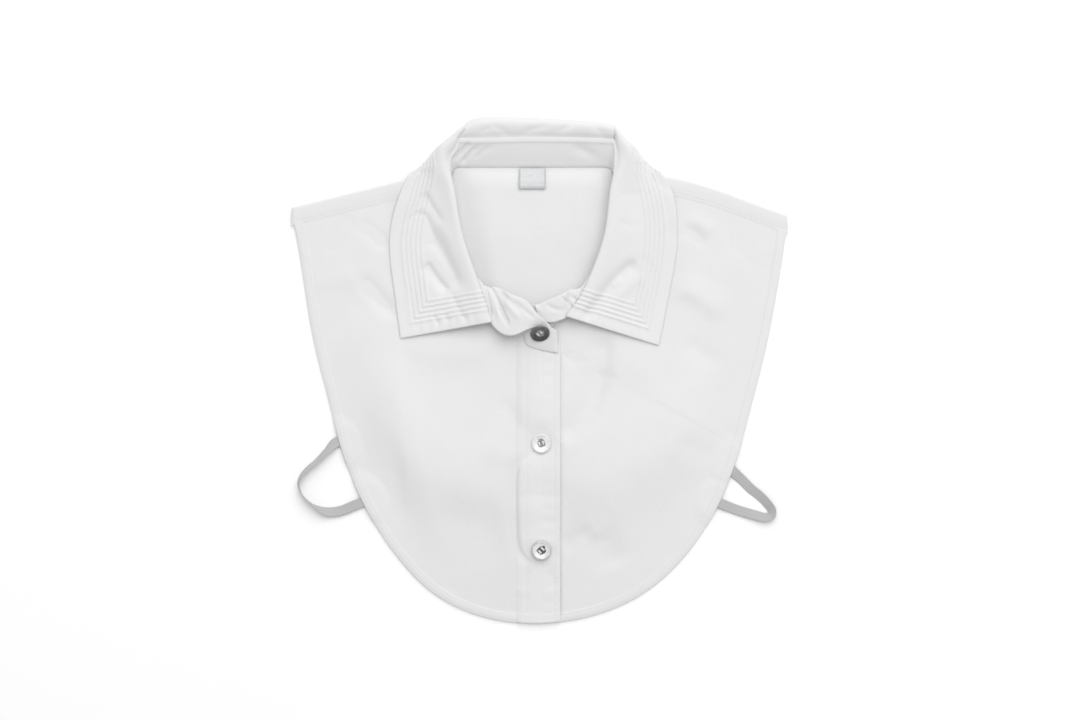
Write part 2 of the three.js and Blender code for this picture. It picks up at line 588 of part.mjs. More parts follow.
function strap(side) {
  const rows = strapRows[side];
  const low = cloth + gap + elasticCloth / 2;
  const last = rows.length - 1;
  const points = rows.map((row, k) => {
    const roll = THREE.MathUtils.degToRad(row.roll);
    const lying = (elasticCloth / 2) * Math.abs(Math.cos(roll)) + (elasticWidth / 2) * Math.abs(Math.sin(roll));
    const inside = k === 0 || k === last;
    const near = k === 1 || k === last - 1;
    const height = inside ? low : near ? Math.max(low, lying) : lying + 0.02;
    return vec(row.x * halfChest, -row.y * bibDrop, height);
  });
  const path = curve(points);
  const rolls = curve(rows.map((row, k) => vec(row.roll, k, 0)));
  const steps = 3 * last;
  const ribbon = grid(steps, 2, (along, across) => {
    const centre = path.getPoint(along);
    const tangent = path.getTangent(along);
    const level = vec(-tangent.y, tangent.x).normalize();
    const roll = THREE.MathUtils.degToRad(rolls.getPoint(along).x);
    const spread = level.multiplyScalar(Math.cos(roll)).add(vec(0, 0, Math.sin(roll)));
    return centre.add(spread.multiplyScalar(elasticWidth * (across - 0.5)));
  });
  for (const row of ribbon) {
    const lowest = Math.min(...row.map((p) => p.z)) - elasticCloth / 2;
    if (lowest < 0) row.forEach((p) => p.setZ(p.z - lowest));
  }
  return sheet(ribbon, elasticCloth);
}

const dickey = new THREE.Group();

function add(name, geometry, material, parent = dickey) {
  const mesh = new THREE.Mesh(geometry, material);
  mesh.name = name;
  parent.add(mesh);
  return mesh;
}

add('back_panel', backPanel(), cotton);
add('front_panel_left', frontPanel('left'), cotton);
add('front_panel_right', frontPanel('right'), cotton);
add('button_placket', buttonPlacket(), cotton);
add('collar_stand', collarStand(), cotton);
add('collar_leaf', collarLeaf(), cotton);
add('neck_label', neckLabel(), labelMaterial);

['button_middle', 'button_bottom'].forEach((name, k) => {
  const y = -topButtonDrop - (k + 1) * buttonPitch;
  const button = add(name, buttonBody(), buttonMaterial);
  button.position.set(buttonAcross, y, placketBottom(buttonAcross, y) + placketCloth + 2 * gap);
});

// The top button lies on the outer face of the stand's overlapping end
const topButton = add('button_top', buttonBody(), buttonMaterial);
const topShare = lerp(rowShare('left button'), rowShare('left roll'), 0.4);
const topSeat = standPoint(topShare, topButtonRise);
const up = standPoint(topShare, topButtonRise + 0.1).sub(standPoint(topShare, topButtonRise - 0.1));
const round = standPoint(topShare - 0.01, topButtonRise).sub(standPoint(topShare + 0.01, topButtonRise));
const facing = round.cross(up).normalize();
topButton.position.copy(topSeat.add(facing.clone().multiplyScalar(collarCloth / 2 + topButtonShank)));
topButton.quaternion.setFromUnitVectors(vec(0, 0, 1), facing);

for (const side of ['left', 'right']) add(`strap_${side}`, strap(side), elasticMaterial);

// The origin is the middle of the underside of the whole
dickey.updateMatrixWorld(true);
const bounds = new THREE.Box3().setFromObject(dickey, true);
const middle = bounds.getCenter(vec(0, 0));
dickey.position.set(-middle.x, -middle.y, -bounds.min.z);

export default dickey;
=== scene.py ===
"""A white cotton dickey lying on its back: a shirt collar on a short buttoned bib with elastic side loops.

Lengths in the classes are millimetres in the maker's frame, whose zero is the neck corner on the middle
line. Place moves them into the model's frame, in metres.
"""

from __future__ import annotations

import logging
import math
from dataclasses import dataclass, field
from enum import Enum
from typing import Any, Callable, Sequence

import bpy
import numpy as np
from mathutils import Matrix, Vector

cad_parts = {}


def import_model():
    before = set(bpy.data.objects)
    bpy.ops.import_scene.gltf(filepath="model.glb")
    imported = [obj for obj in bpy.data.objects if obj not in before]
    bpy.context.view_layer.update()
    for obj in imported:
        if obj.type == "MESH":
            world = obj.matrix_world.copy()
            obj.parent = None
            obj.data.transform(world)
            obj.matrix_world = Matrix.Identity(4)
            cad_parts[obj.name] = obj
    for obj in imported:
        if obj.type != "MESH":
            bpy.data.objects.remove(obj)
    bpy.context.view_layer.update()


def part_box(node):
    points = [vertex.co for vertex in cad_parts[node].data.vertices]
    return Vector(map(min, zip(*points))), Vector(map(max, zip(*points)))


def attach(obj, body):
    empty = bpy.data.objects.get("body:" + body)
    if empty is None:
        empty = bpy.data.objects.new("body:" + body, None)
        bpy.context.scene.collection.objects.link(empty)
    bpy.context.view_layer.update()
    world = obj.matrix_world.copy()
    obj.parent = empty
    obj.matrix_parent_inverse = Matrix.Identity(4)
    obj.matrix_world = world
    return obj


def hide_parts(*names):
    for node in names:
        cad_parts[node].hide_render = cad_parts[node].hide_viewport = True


LOG = logging.getLogger("dickey")
Array = np.ndarray
UP = (0.0, 0.0, 1.0)


class Side(Enum):
    """The two sides of the bib, as the photograph shows them."""

    LEFT = "left"
    RIGHT = "right"

    @property
    def sign(self) -> int:
        """The sign of x on this side."""
        return -1 if self is Side.LEFT else 1


class Face(Enum):
    """Which face of a sheet of cloth a row of stitches lies on."""

    OUTER = 1
    INNER = -1


@dataclass(frozen=True)
class BibRow:
    """A point of the bib's edge: share of the drop, and of half the chest on each side."""

    down: float
    left: float
    right: float


@dataclass(frozen=True)
class CollarRow:
    """A line across the collar, from the neck up the stand and over the leaf."""

    name: str
    neck: tuple[float, float]
    top: tuple[float, float]
    crest: float
    fold: tuple[float, float] | None = None
    turn: tuple[float, float] | None = None
    edge: tuple[float, float] | None = None
    under: float = 0.0
    level: bool = False


@dataclass(frozen=True)
class Fold:
    """A ridge or hollow of the cloth along a line: widths on its two sides, height, and how its ends fade."""

    path: tuple[tuple[float, float], ...]
    width: float
    height: float
    far: float = 0.0
    fade: float = 0.32

    def rise(self, x: Array, y: Array) -> Array:
        """The fold's height at points in plan.

        Args:
            x: The points' places across.
            y: The points' places along.

        Returns:
            The height at each point.
        """
        line = catmull(np.array(self.path), spaced(3 * (len(self.path) - 1))).tolist()
        lengths = [math.dist(a, b) for a, b in zip(line, line[1:])]
        nearest = np.full(np.shape(x), np.inf)
        hand, gone = np.zeros(np.shape(x)), np.zeros(np.shape(x))
        before = 0.0
        for (x1, y1), (x2, y2), length in zip(line, line[1:], lengths):
            dx, dy = (x2 - x1) / length, (y2 - y1) / length
            along = np.clip((x - x1) * dx + (y - y1) * dy, 0, length)
            off = np.hypot(x - x1 - along * dx, y - y1 - along * dy)
            aside = (dx * (y - y1) - dy * (x - x1)) / (off + 1e-6)
            closer = off < nearest
            hand = np.where(closer, np.clip(aside, -1, 1), hand)
            gone = np.where(closer, (before + along) / sum(lengths), gone)
            nearest = np.where(closer, off, nearest)
            before += length
        width = mix(self.far or self.width, self.width, 0.5 + 0.5 * hand)
        ends = smooth(gone, -0.04, self.fade) * smooth(1 - gone, -0.04, self.fade)
        return self.height * ends * bump(nearest, width)


@dataclass(frozen=True)
class Crest:
    """A broad ridge that crosses the cloth from side to side, wider above its line than below."""

    path: tuple[tuple[float, float], ...]
    above: float
    below: float
    height: float
    fade: float = 34.0

    def rise(self, x: Array, y: Array) -> Array:
        """The crest's height at points in plan."""
        line = catmull(np.array(self.path), spaced(240))
        off = y - np.interp(x, line[:, 0], line[:, 1])
        width = mix(self.below, self.above, smooth(off, -self.below / 2, self.below / 2))
        first, last = line[0, 0], line[-1, 0]
        ends = smooth(x, first - self.fade, first + self.fade)
        ends = ends * smooth(-x, -last - self.fade, self.fade - last)
        return self.height * ends * bump(off, width)


BIB_ROWS = (
    BibRow(0.0, 1.0, 0.998),
    BibRow(0.11, 0.966, 0.974),
    BibRow(0.31, 0.911, 0.914),
    BibRow(0.46, 0.849, 0.853),
    BibRow(0.6, 0.786, 0.789),
    BibRow(0.73, 0.692, 0.7),
    BibRow(0.846, 0.563, 0.567),
    BibRow(0.93, 0.42, 0.405),
    BibRow(0.981, 0.242, 0.208),
)

COLLAR_ROWS = (
    CollarRow("left tip", (0.224, -0.972), (-0.05, 0.59), 0.72, level=True),
    CollarRow("left button", (0.018, -0.956), (0.123, 0.63), 0.96, (0.203, 0.65)),
    CollarRow("left roll", (-0.151, -0.927), (0.076, 0.431), 1.12, (0.266, 0.791)),
    CollarRow("left band", (-0.212, -0.858), (-0.204, -0.081), 1.08, (0.116, 0.789)),
    CollarRow("left start", (-0.44, -0.77), (0.0, -0.48), 1.0, (0.21, 0.56)),
    CollarRow("left front end", (-0.575, -0.704), (-0.04, -0.48), 0.9, (0.19, 0.4),
              (-0.32, -0.07), (-1.29, -0.23)),
    CollarRow("left low", (-0.744, -0.605), (0.07, -0.16), 0.92, (0.07, 0.1), (-0.32, -0.01), (-1.21, -0.2)),
    CollarRow("left high", (-0.97, -0.33), (0.06, 0.02), 0.92, None, (-0.32, 0.02), (-1.03, -0.02)),
    CollarRow("left shoulder front", (-1.058, -0.081), (0.03, 0.08), 0.94, None,
              (-0.27, 0.04), (-0.76, -0.09)),
    CollarRow("left shoulder", (-1.071, -0.004), (-0.04, 0.21), 0.97, None,
              (-0.29, 0.15), (-0.55, -0.07), 0.5),
    CollarRow("left shoulder back", (-1.046, 0.035), (-0.08, 0.29), 1.0, None,
              (-0.16, 0.16), (-0.36, -0.2), 1),
    CollarRow("left corner", (-0.986, 0.051), (-0.05, 0.51), 1.0, None, (-0.03, 0.18), (-0.23, -0.55), 1),
    CollarRow("left back end", (-0.94, 0.051), (-0.09, 0.72), 0.97, None, (0.05, 0.16), (-0.18, -0.6), 1),
    CollarRow("left back", (-0.841, 0.051), (0.05, 0.72), 0.95, None, (0.01, 0.28), (-0.14, -0.63), 1),
    CollarRow("back middle", (0.006, 0.051), (0.0, 0.76), 0.9, None, (0.0, 0.27), (0.0, -0.66), 1),
    CollarRow("right back", (0.768, 0.051), (0.16, 0.71), 0.95, None, (0.03, 0.21), (0.01, -0.63), 1),
    CollarRow("right back end", (0.812, 0.049), (0.185, 0.705), 0.98, None, (0.02, 0.19), (0.12, -0.58), 1),
    CollarRow("right corner", (0.841, 0.046), (0.17, 0.48), 1.0, None, (0.11, 0.17), (0.24, -0.5), 1),
    CollarRow("right shoulder back", (0.877, 0.035), (0.08, 0.26), 1.0, None, (0.25, 0.19), (0.48, -0.14), 1),
    CollarRow("right shoulder", (0.901, -0.009), (0.01, 0.21), 0.97, None, (0.37, 0.18), (0.65, -0.05), 0.5),
    CollarRow("right shoulder front", (0.877, -0.092), (-0.03, 0.1), 0.94, None, (0.3, 0.04), (0.87, -0.04)),
    CollarRow("right high", (0.8, -0.35), (-0.04, 0.05), 0.92, None, (0.31, 0.03), (1.04, -0.02)),
    CollarRow("right low", (0.538, -0.643), (-0.08, -0.11), 0.88, (-0.1, 0.12), (0.32, -0.03), (1.21, -0.2)),
    CollarRow("right front end", (0.369, -0.721), (-0.08, -0.25), 0.85, (0.0, 0.45),
              (0.32, -0.09), (1.31, -0.41)),
    CollarRow("right start", (0.224, -0.792), (0.05, 0.0), 0.84, (0.16, 0.7)),
    CollarRow("right band", (0.091, -0.858), (0.05, 0.26), 0.84, (0.05, 0.84)),
    CollarRow("right hidden", (-0.054, -0.903), (0.08, 0.55), 0.84, (0.0, 0.9)),
)

# The broad crest that crosses both fronts, and the smaller folds, as lines on the bib
FRONT_CREST = Crest(
    ((-170, -150), (-135, -167), (-108, -188), (-97, -208), (-75, -220), (-30, -226), (-14, -216),
     (1, -206), (17, -215), (45, -226), (75, -214), (100, -198), (116, -194), (138, -208)),
    above=56, below=42, height=9.0,
)
FRONT_FOLDS = (
    Fold(((-138, -34), (-126, -42), (-112, -56)), 5, -1.2),
    Fold(((-141, -28), (-150, -45), (-162, -60)), 9, -0.9),
    Fold(((-136, -72), (-128, -84), (-117, -96), (-106, -109)), 6, -2.0),
    Fold(((-168, -119), (-146, -104), (-130, -84)), 11, -1.6),
    Fold(((-175, -82), (-153, -77), (-133, -76)), 9, 1.0, 7),
    Fold(((50, -118), (47, -146), (41, -168), (31, -184), (16, -199)), 6, -2.6, 13, 0.15),
    Fold(((17, -130), (28, -143)), 4, -0.6),
    Fold(((141, -42), (156, -51), (171, -65)), 10, -1.5),
    Fold(((105, -40), (114, -43), (125, -53)), 4, -0.9),
    Fold(((110, -32), (120, -35), (132, -44)), 5, 0.8),
    Fold(((101, -82), (120, -90), (140, -107)), 12, 1.7, 7),
    Fold(((108, -122), (120, -131), (134, -144)), 8, -1.0),
    Fold(((156, -116), (158, -140), (153, -168)), 8, -0.6),
    Fold(((102, -197), (120, -205), (137, -215)), 9, -1.1),
    Fold(((15, -280), (29, -270), (41, -264)), 7, -1.2),
    Fold(((42, -266), (50, -280), (59, -294)), 12, -1.3),
    Fold(((117, -244), (132, -239)), 9, -0.7),
    Fold(((-130, -238), (-117, -244)), 9, -0.8),
    Fold(((-82, -244), (-52, -258), (-22, -258)), 16, -1.2),
    Fold(((-27, -316), (-16, -320), (-4, -320)), 6, -1.1),
    Fold(((-75, -311), (-58, -316)), 9, -0.6),
    Fold(((-30, -165), (-21, -178), (-9, -196)), 6, -0.8),
    Fold(((-8, -292), (-15, -311)), 4, -0.7),
    Fold(((6, -294), (12, -311)), 4, -0.7),
    Fold(((-45, -198), (-26, -210), (-7, -206)), 9, 0.6),
    Fold(((-146, -191), (-141, -210), (-126, -232)), 9, -0.7),
    Fold(((-105, -127), (-67, -132), (-30, -131)), 14, 1.0, 10),
    Fold(((27, -132), (60, -140), (96, -148)), 14, 0.8, 11),
    Fold(((1, -206), (-9, -210), (-16, -216), (-18, -228), (-18, -251), (-17, -270), (-15, -280),
         (-9, -288), (5, -293)), 2.0, -1.6, 5.5),
    Fold(((-1, -238), (1, -284)), 17, 1.5),
    Fold(((-2, -150), (1, -196)), 15, 0.4),
)

# Wrinkles of the two leaves, which run down from the roll
LEAF_FOLDS = (
    Fold(((-86, -11), (-82, -20), (-77, -28), (-72, -36)), 2.4, -1.1, 6, 0.2),
    Fold(((-91, -25), (-85, -36), (-79, -46), (-73, -56), (-68, -66), (-63, -77), (-60, -86)),
         5, -2.2, 10, 0.15),
    Fold(((-86, -22), (-78, -31), (-72, -39), (-66, -50)), 3, 0.2, 3, 0.2),
    Fold(((-84, -50), (-80, -56), (-71, -69), (-64, -82)), 3.4, 0.5, 4, 0.2),
    Fold(((-85, -64), (-79, -73), (-73, -81), (-67, -87)), 2.4, -1.5, 6, 0.15),
    Fold(((-83, -76), (-78, -84), (-73, -90)), 3, 0.3, 3, 0.2),
    Fold(((-66, -86), (-62, -96), (-56, -108)), 2.4, -0.6),
    Fold(((-80, -103), (-75, -112)), 1.8, -0.6),
    Fold(((-72, -102), (-67, -110)), 1.8, -0.6),
    Fold(((-58, -103), (-53, -110)), 1.8, -0.6),
    Fold(((73, -64), (64, -70), (54, -80), (47, -89), (38, -100), (30, -107)), 6.5, -1.9, 4.4, 0.12),
    Fold(((78, -74), (68, -81), (57, -92)), 4, 0.45, 4, 0.2),
    Fold(((62, -76), (54, -84)), 2.6, 0.5),
    Fold(((57, -16), (66, -14), (77, -13)), 3.0, -0.25, 3.0, 0.3),
    Fold(((57, -34), (66, -37), (76, -37)), 3.0, -0.25, 3.0, 0.3),
    Fold(((36, -88), (30, -98), (24, -106)), 1.8, -0.6),
    Fold(((-96, -11), (-101, -30), (-103, -48)), 4, 0.3),
    Fold(((94, -7), (99, -22), (100, -41)), 4, 0.3),
    Fold(((-70, 12), (-66, -11), (-57, -45), (-47, -82), (-40, -107)), 4, 0.6),
)

# Creases of the stand, on its inner face at the back and on its rolled front ends
STAND_FOLDS = (
    Fold(((-67, 10), (-59, 18), (-51, 26)), 1.4, -0.8, 2.2),
    Fold(((-60, 8), (-52, 17), (-44, 24)), 1.4, -0.7, 2.2),
    Fold(((-51, 12), (-42, 19), (-36, 24)), 1.6, -0.4, 2.4),
    Fold(((23, 22), (35, 18), (45, 12)), 4, -0.5),
    Fold(((-41, -79), (-39, -91), (-36, -106)), 1.4, -0.9, 2.0, 0.15),
    Fold(((-40, -79), (-34, -88), (-30, -97), (-26, -106)), 1.2, -0.9, 1.8, 0.15),
    Fold(((-36, -84), (-33, -92), (-31, -101), (-29, -110)), 1.6, 0.5),
    Fold(((-30, -97), (-27, -104), (-23, -111)), 1.0, -1.4, 1.3, 0.1),
    Fold(((-30, -86), (-22, -94), (-13, -103)), 1.6, -0.4, 1.6, 0.2),
    Fold(((-26, -93), (-20, -101), (-14, -108)), 1.8, 0.5),
    Fold(((-20, -93), (-12, -100), (-4, -107)), 1.4, -0.4, 1.4, 0.2),
    Fold(((-16, -88), (-8, -94), (2, -103)), 1.8, 0.4),
    Fold(((15, -90), (24, -98), (25, -106)), 1.2, -0.5),
    Fold(((21, -88), (28, -94), (30, -100)), 1.2, -0.5),
    Fold(((3, -95), (12, -100), (20, -100)), 1.6, -0.4),
)

# Creases of the collar where it rolls over at the back
ROLL_FOLDS = (
    Fold(((-47, 42), (-54, 36), (-62, 27)), 1.2, -1.5),
    Fold(((-51, 38), (-57, 33)), 1.0, 0.8),
    Fold(((56, 38), (56, 32), (56, 25)), 1.0, -1.6),
    Fold(((-15, 31), (-4, 35), (9, 38)), 2.4, -0.6),
    Fold(((12, 32), (20, 36), (30, 41)), 2.6, -0.7),
    Fold(((-39, 38), (-30, 35), (-21, 29)), 2.4, -0.4),
    Fold(((38, 39), (45, 33), (50, 29)), 3, -0.6),
    Fold(((-45, 32), (-36, 36)), 2.0, -0.4),
)

# Soft folds of the back inside the neck opening
BACK_FOLDS = (
    Fold(((24, 2), (24, -18), (21, -38)), 3, -0.6, 8),
    Fold(((-32, 2), (-36, -11), (-46, -22)), 4, -0.3),
    Fold(((-15, -11), (-18, -41)), 9, -0.3),
    Fold(((9, -15), (15, -64)), 9, -0.3),
)

# The neck opening's middle across, and its half width at heights from its foot up
OPENING_MIDDLE = -5.0
OPENING_HALF = ((-112, -90, -61, -18, 5), (18, 38, 48, 56, 58))

# The elastic loops: shares of half the chest and of the drop, and the roll in degrees
LEFT_STRAP = (
    (-0.79, 0.597, 0), (-0.815, 0.594, 5), (-0.861, 0.617, 50), (-0.898, 0.638, 58), (-0.934, 0.654, 64),
    (-0.958, 0.669, 68), (-0.97, 0.684, 74), (-0.966, 0.702, 82), (-0.946, 0.72, 88), (-0.917, 0.734, 94),
    (-0.887, 0.744, 118), (-0.85, 0.751, 156), (-0.8, 0.748, 166), (-0.745, 0.736, 176), (-0.69, 0.723, 180),
)

RIGHT_STRAP = (
    (0.75, 0.64, 0), (0.78, 0.66, 2), (0.817, 0.68, 8), (0.849, 0.698, 14), (0.889, 0.716, 20),
    (0.917, 0.732, 26), (0.935, 0.747, 32), (0.932, 0.76, 36), (0.907, 0.763, 28), (0.875, 0.759, 20),
    (0.835, 0.753, 12), (0.788, 0.745, 6), (0.738, 0.734, 2), (0.7, 0.724, 0),
)


def smooth(value: Array | float, low: float, high: float) -> Array:
    """A soft step from 0 at low to 1 at high."""
    share = np.clip((np.asarray(value, float) - low) / (high - low), 0, 1)
    return share * share * (3 - 2 * share)


def mix(a: Any, b: Any, share: Any) -> Any:
    """The value that is a share of the way from a to b."""
    return a + (b - a) * share


def spaced(steps: int) -> Array:
    """Even steps from 0 to 1, ends included."""
    return np.linspace(0, 1, steps + 1)


def bump(off: Any, width: Any) -> Any:
    """A bell-shaped rise of 1 that falls off over a width."""
    return np.exp(-((off / width) ** 2))


def total_rise(folds: Sequence[Fold], x: Array, y: Array) -> Array:
    """The height of several folds together, at points in plan."""
    return sum((fold.rise(x, y) for fold in folds), np.zeros(np.shape(x)))


def catmull(points: Array, places: Array) -> Array:
    """Centripetal Catmull-Rom curves.

    Args:
        points: Control points along the first axis, coordinates along the last.
        places: Shares of the curve, 0 to 1, evenly over its control points.

    Returns:
        The curve's points, with the places along the first axis.
    """
    points = np.asarray(points, float)
    spans = len(points) - 1
    full = run_on(points)
    place = np.clip(np.asarray(places, float) * spans, 0, spans)
    index = np.minimum(place.astype(int), spans - 1)
    weight = (place - index).reshape((-1,) + (1,) * (points.ndim - 1))
    p0, p1, p2, p3 = (full[index + k] for k in range(4))

    def knot(a: Array, b: Array) -> Array:
        """The centripetal distance between neighbours."""
        return np.sum((b - a) ** 2, axis=-1, keepdims=True) ** 0.25

    d1 = np.maximum(knot(p1, p2), 1e-6)
    d0 = np.where(knot(p0, p1) < 1e-4, d1, knot(p0, p1))
    d2 = np.where(knot(p2, p3) < 1e-4, d1, knot(p2, p3))
    m1 = ((p1 - p0) / d0 - (p2 - p0) / (d0 + d1) + (p2 - p1) / d1) * d1
    m2 = ((p2 - p1) / d1 - (p3 - p1) / (d1 + d2) + (p3 - p2) / d2) * d1
    cubic = 2 * (p1 - p2) + m1 + m2
    square = 3 * (p2 - p1) - 2 * m1 - m2
    return p1 + weight * (m1 + weight * (square + weight * cubic))


def run_on(points: Array) -> Array:
    """The points with each end carried on by one more point."""
    return np.concatenate([2 * points[:1] - points[1:2], points, 2 * points[-1:] - points[-2:-1]])


def by_length(points: Array, places: Array) -> Array:
    """Points of a Catmull-Rom curve at shares of its length."""
    steps = spaced(400)
    lengths = travelled(catmull(points, steps))
    return catmull(points, np.interp(np.asarray(places) * lengths[-1], lengths, steps))


def travelled(points: Array) -> Array:
    """The distance gone at each point of a line, along the first axis."""
    gone = np.linalg.norm(np.diff(points, axis=0), axis=-1)
    return np.concatenate([np.zeros((1,) + gone.shape[1:]), np.cumsum(gone, axis=0)])


def from_last_column(rows: Array) -> Array:
    """The distance of each grid point from the grid's last column, along its row."""
    return travelled(rows[:, ::-1].swapaxes(0, 1)).swapaxes(0, 1)[:, ::-1]


def unit(vectors: Array) -> Array:
    """The vectors at length 1."""
    return vectors / np.maximum(np.linalg.norm(vectors, axis=-1, keepdims=True), 1e-9)


@dataclass
class Ripple:
    """The faint unevenness of laid cloth: a few long waves from a fixed seed."""

    seed: int = 7
    waves: int = 9
    shortest: float = 26.0
    longest: float = 90.0
    height: float = 0.16

    def rise(self, x: Array, y: Array) -> Array:
        """The waves' height at points in plan."""
        draw = np.random.default_rng(self.seed)
        total = np.zeros(np.shape(x))
        for _ in range(self.waves):
            length = draw.uniform(self.shortest, self.longest)
            turn, phase = draw.uniform(0, math.tau, 2)
            step = math.tau / length
            total = total + np.sin(step * (x * math.cos(turn) + y * math.sin(turn)) + phase) * length
        return self.height * total / (self.longest * math.sqrt(self.waves) / 2)


@dataclass
class Place:
    """Moves points from the maker's frame into the model's."""

    shift: Vector

    @classmethod
    def from_frame(cls, button: str, across: float, along: float) -> Place:
        """Finds the shift from a button's box, whose place on the bib is known."""
        low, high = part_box(button)
        middle = (low + high) / 2
        return cls(Vector((middle.x - across / 1000, middle.y - along / 1000, 0.0)))

    def world(self, points: Array) -> Array:
        """Points in metres in the model's frame."""
        return np.asarray(points, float) / 1000 + np.array(self.shift)


@dataclass
class Sheet:
    """A piece of cloth as a grid of points on its middle surface, with a thickness and a relief."""

    rows: Array
    thickness: Array | float
    relief: Array | float = 0.0
    outward: int = 1
    rounding: float = 0.42
    normal: Array = field(init=False)

    def __post_init__(self) -> None:
        """Works out the surface's normal at each point."""
        padded = np.pad(self.rows, ((1, 1), (1, 1), (0, 0)), mode="edge")
        along = padded[2:, 1:-1] - padded[:-2, 1:-1]
        across = padded[1:-1, 2:] - padded[1:-1, :-2]
        self.normal = unit(np.cross(along, across)) * self.outward

    @classmethod
    def facing(
        cls, way: Sequence[float], at: tuple[int, int], rows: Array, thickness: Array | float,
        relief: Array | float = 0.0
    ) -> Sheet:
        """A sheet turned so that its outer face looks a given way.

        Args:
            way: The direction that it looks.
            at: The row and column at which it does.
            rows: The grid of points.
            thickness: The cloth's thickness.
            relief: The height of the relief on its outer face.

        Returns:
            The sheet.
        """
        sheet = cls(rows, thickness, relief)
        return sheet if sheet.normal[at] @ np.array(way, float) > 0 else cls(rows, thickness, relief, -1)

    def face(self, which: Face = Face.OUTER) -> Array:
        """The points of one face of the cloth."""
        half = np.broadcast_to(np.asarray(self.thickness, float) / 2, self.rows.shape[:2])
        if which is Face.INNER:
            return self.rows - self.normal * half[..., None]
        return self.rows + self.normal * (half + self.relief)[..., None]

    def spot(self, i: Array, j: Array, which: Face = Face.OUTER) -> tuple[Array, Array]:
        """Points and normals at fractional rows and columns of one face.

        Args:
            i: Fractional row numbers.
            j: Fractional column numbers.
            which: The face.

        Returns:
            The points and the directions that face away from the cloth.
        """
        count, width = self.rows.shape[:2]
        i = np.clip(i, 0, count - 1.001)
        j = np.clip(j, 0, width - 1.001)
        a, b = i.astype(int), j.astype(int)
        u, v = (i - a)[:, None], (j - b)[:, None]

        def blend(values: Array) -> Array:
            """The values between the four grid points around each spot."""
            low = mix(values[a, b], values[a, b + 1], v)
            return mix(low, mix(values[a + 1, b], values[a + 1, b + 1], v), u)

        return blend(self.face(which)), unit(blend(self.normal)) * which.value

    def mesh(self, name: str, place: Place) -> bpy.types.Object:
        """Builds the closed mesh with rounded edges and a UV map in metres of cloth.

        Args:
            name: The object's name.
            place: The frame to put it in.

        Returns:
            The new object.
        """
        count, width = self.rows.shape[:2]
        lower, upper = self.face(Face.INNER), self.face()
        grid = np.arange(count * width).reshape(count, width)
        loop = np.concatenate([grid[0, :-1], grid[:-1, -1], grid[-1, :0:-1], grid[:0:-1, 0]])
        inner = np.concatenate([grid[1, :-1], grid[:-1, -2], grid[-2, :0:-1], grid[:0:-1, 1]])
        flat = self.rows.reshape(-1, 3)
        cloth = np.broadcast_to(np.asarray(self.thickness, float), self.rows.shape[:2]).ravel()[loop]
        out = unit(flat[loop] - flat[inner]) * (cloth * self.rounding)[:, None]
        middle = (lower.reshape(-1, 3)[loop] + upper.reshape(-1, 3)[loop]) / 2 + out
        points = np.concatenate([lower.reshape(-1, 3), upper.reshape(-1, 3), middle])
        total = count * width
        ring = 2 * total + np.arange(len(loop))
        a, b, c, d = (g.ravel() for g in (grid[:-1, :-1], grid[1:, :-1], grid[1:, 1:], grid[:-1, 1:]))
        top = np.stack([a, b, c, d], 1) + total
        bottom = np.stack([a, d, c, b], 1)
        after, ring_after = np.roll(loop, -1), np.roll(ring, -1)
        rim = np.concatenate([
            np.stack([after, loop, ring, ring_after], 1),
            np.stack([ring_after, ring, loop + total, after + total], 1),
        ])
        quads = np.concatenate([top, bottom, rim])
        if self.outward < 0:
            quads = quads[:, ::-1]
        u = np.broadcast_to(travelled(self.rows.mean(axis=1))[:, None], (count, width)).ravel()
        v = np.broadcast_to(travelled(self.rows.swapaxes(0, 1).mean(axis=1))[None], (count, width)).ravel()
        flat_uv = np.stack([u, v], 1) / 1000
        uv = np.concatenate([flat_uv, flat_uv, flat_uv[loop]])
        return make_mesh(name, place.world(points), quads.tolist(), uv)


def make_mesh(
    name: str, points: Array, faces: Sequence[Sequence[int]], uv: Array | None = None
) -> bpy.types.Object:
    """A smooth mesh object from points in metres.

    Args:
        name: The object's name.
        points: The vertices.
        faces: The vertex numbers of each face.
        uv: The cloth's own coordinates at each vertex.

    Returns:
        The new object, linked to the scene.
    """
    mesh = bpy.data.meshes.new(name)
    mesh.from_pydata(points.tolist(), [], faces)
    if uv is not None:
        layer = mesh.uv_layers.new(name="cloth")
        layer.data.foreach_set("uv", uv[np.ravel(faces)].astype(np.float32).ravel())
    shade_smooth(mesh)
    mesh.update()
    return show(name, mesh)


def shade_smooth(mesh: bpy.types.Mesh) -> None:
    """Shades every face of a mesh smoothly."""
    mesh.polygons.foreach_set("use_smooth", [True] * len(mesh.polygons))


def show(name: str, data: bpy.types.ID | None) -> bpy.types.Object:
    """An object for a mesh, lamp or camera, linked to the scene."""
    made = bpy.data.objects.new(name, data)
    bpy.context.scene.collection.objects.link(made)
    return made


def as_made(piece: bpy.types.Object) -> bpy.types.Mesh:
    """A plain mesh of an object with its modifiers worked out, which are then removed."""
    made = bpy.data.meshes.new_from_object(piece.evaluated_get(bpy.context.evaluated_depsgraph_get()))
    piece.modifiers.clear()
    return made


def tubes(lines: Sequence[Array]) -> tuple[Array, list[tuple[int, ...]]]:
    """Closed tubes, one for each stack of rings.

    Args:
        lines: The stacks. Each holds its rings' points by ring, side and axis.

    Returns:
        The points and the faces.
    """
    faces: list[tuple[int, ...]] = []
    start = 0
    for rings in lines:
        count, sides = rings.shape[:2]
        for a in range(start, start + (count - 1) * sides, sides):
            faces.extend(round_ring(a, sides))
        faces.append(tuple(start + side for side in reversed(range(sides))))
        faces.append(tuple(start + (count - 1) * sides + side for side in range(sides)))
        start += count * sides
    return np.concatenate([rings.reshape(-1, 3) for rings in lines]), faces


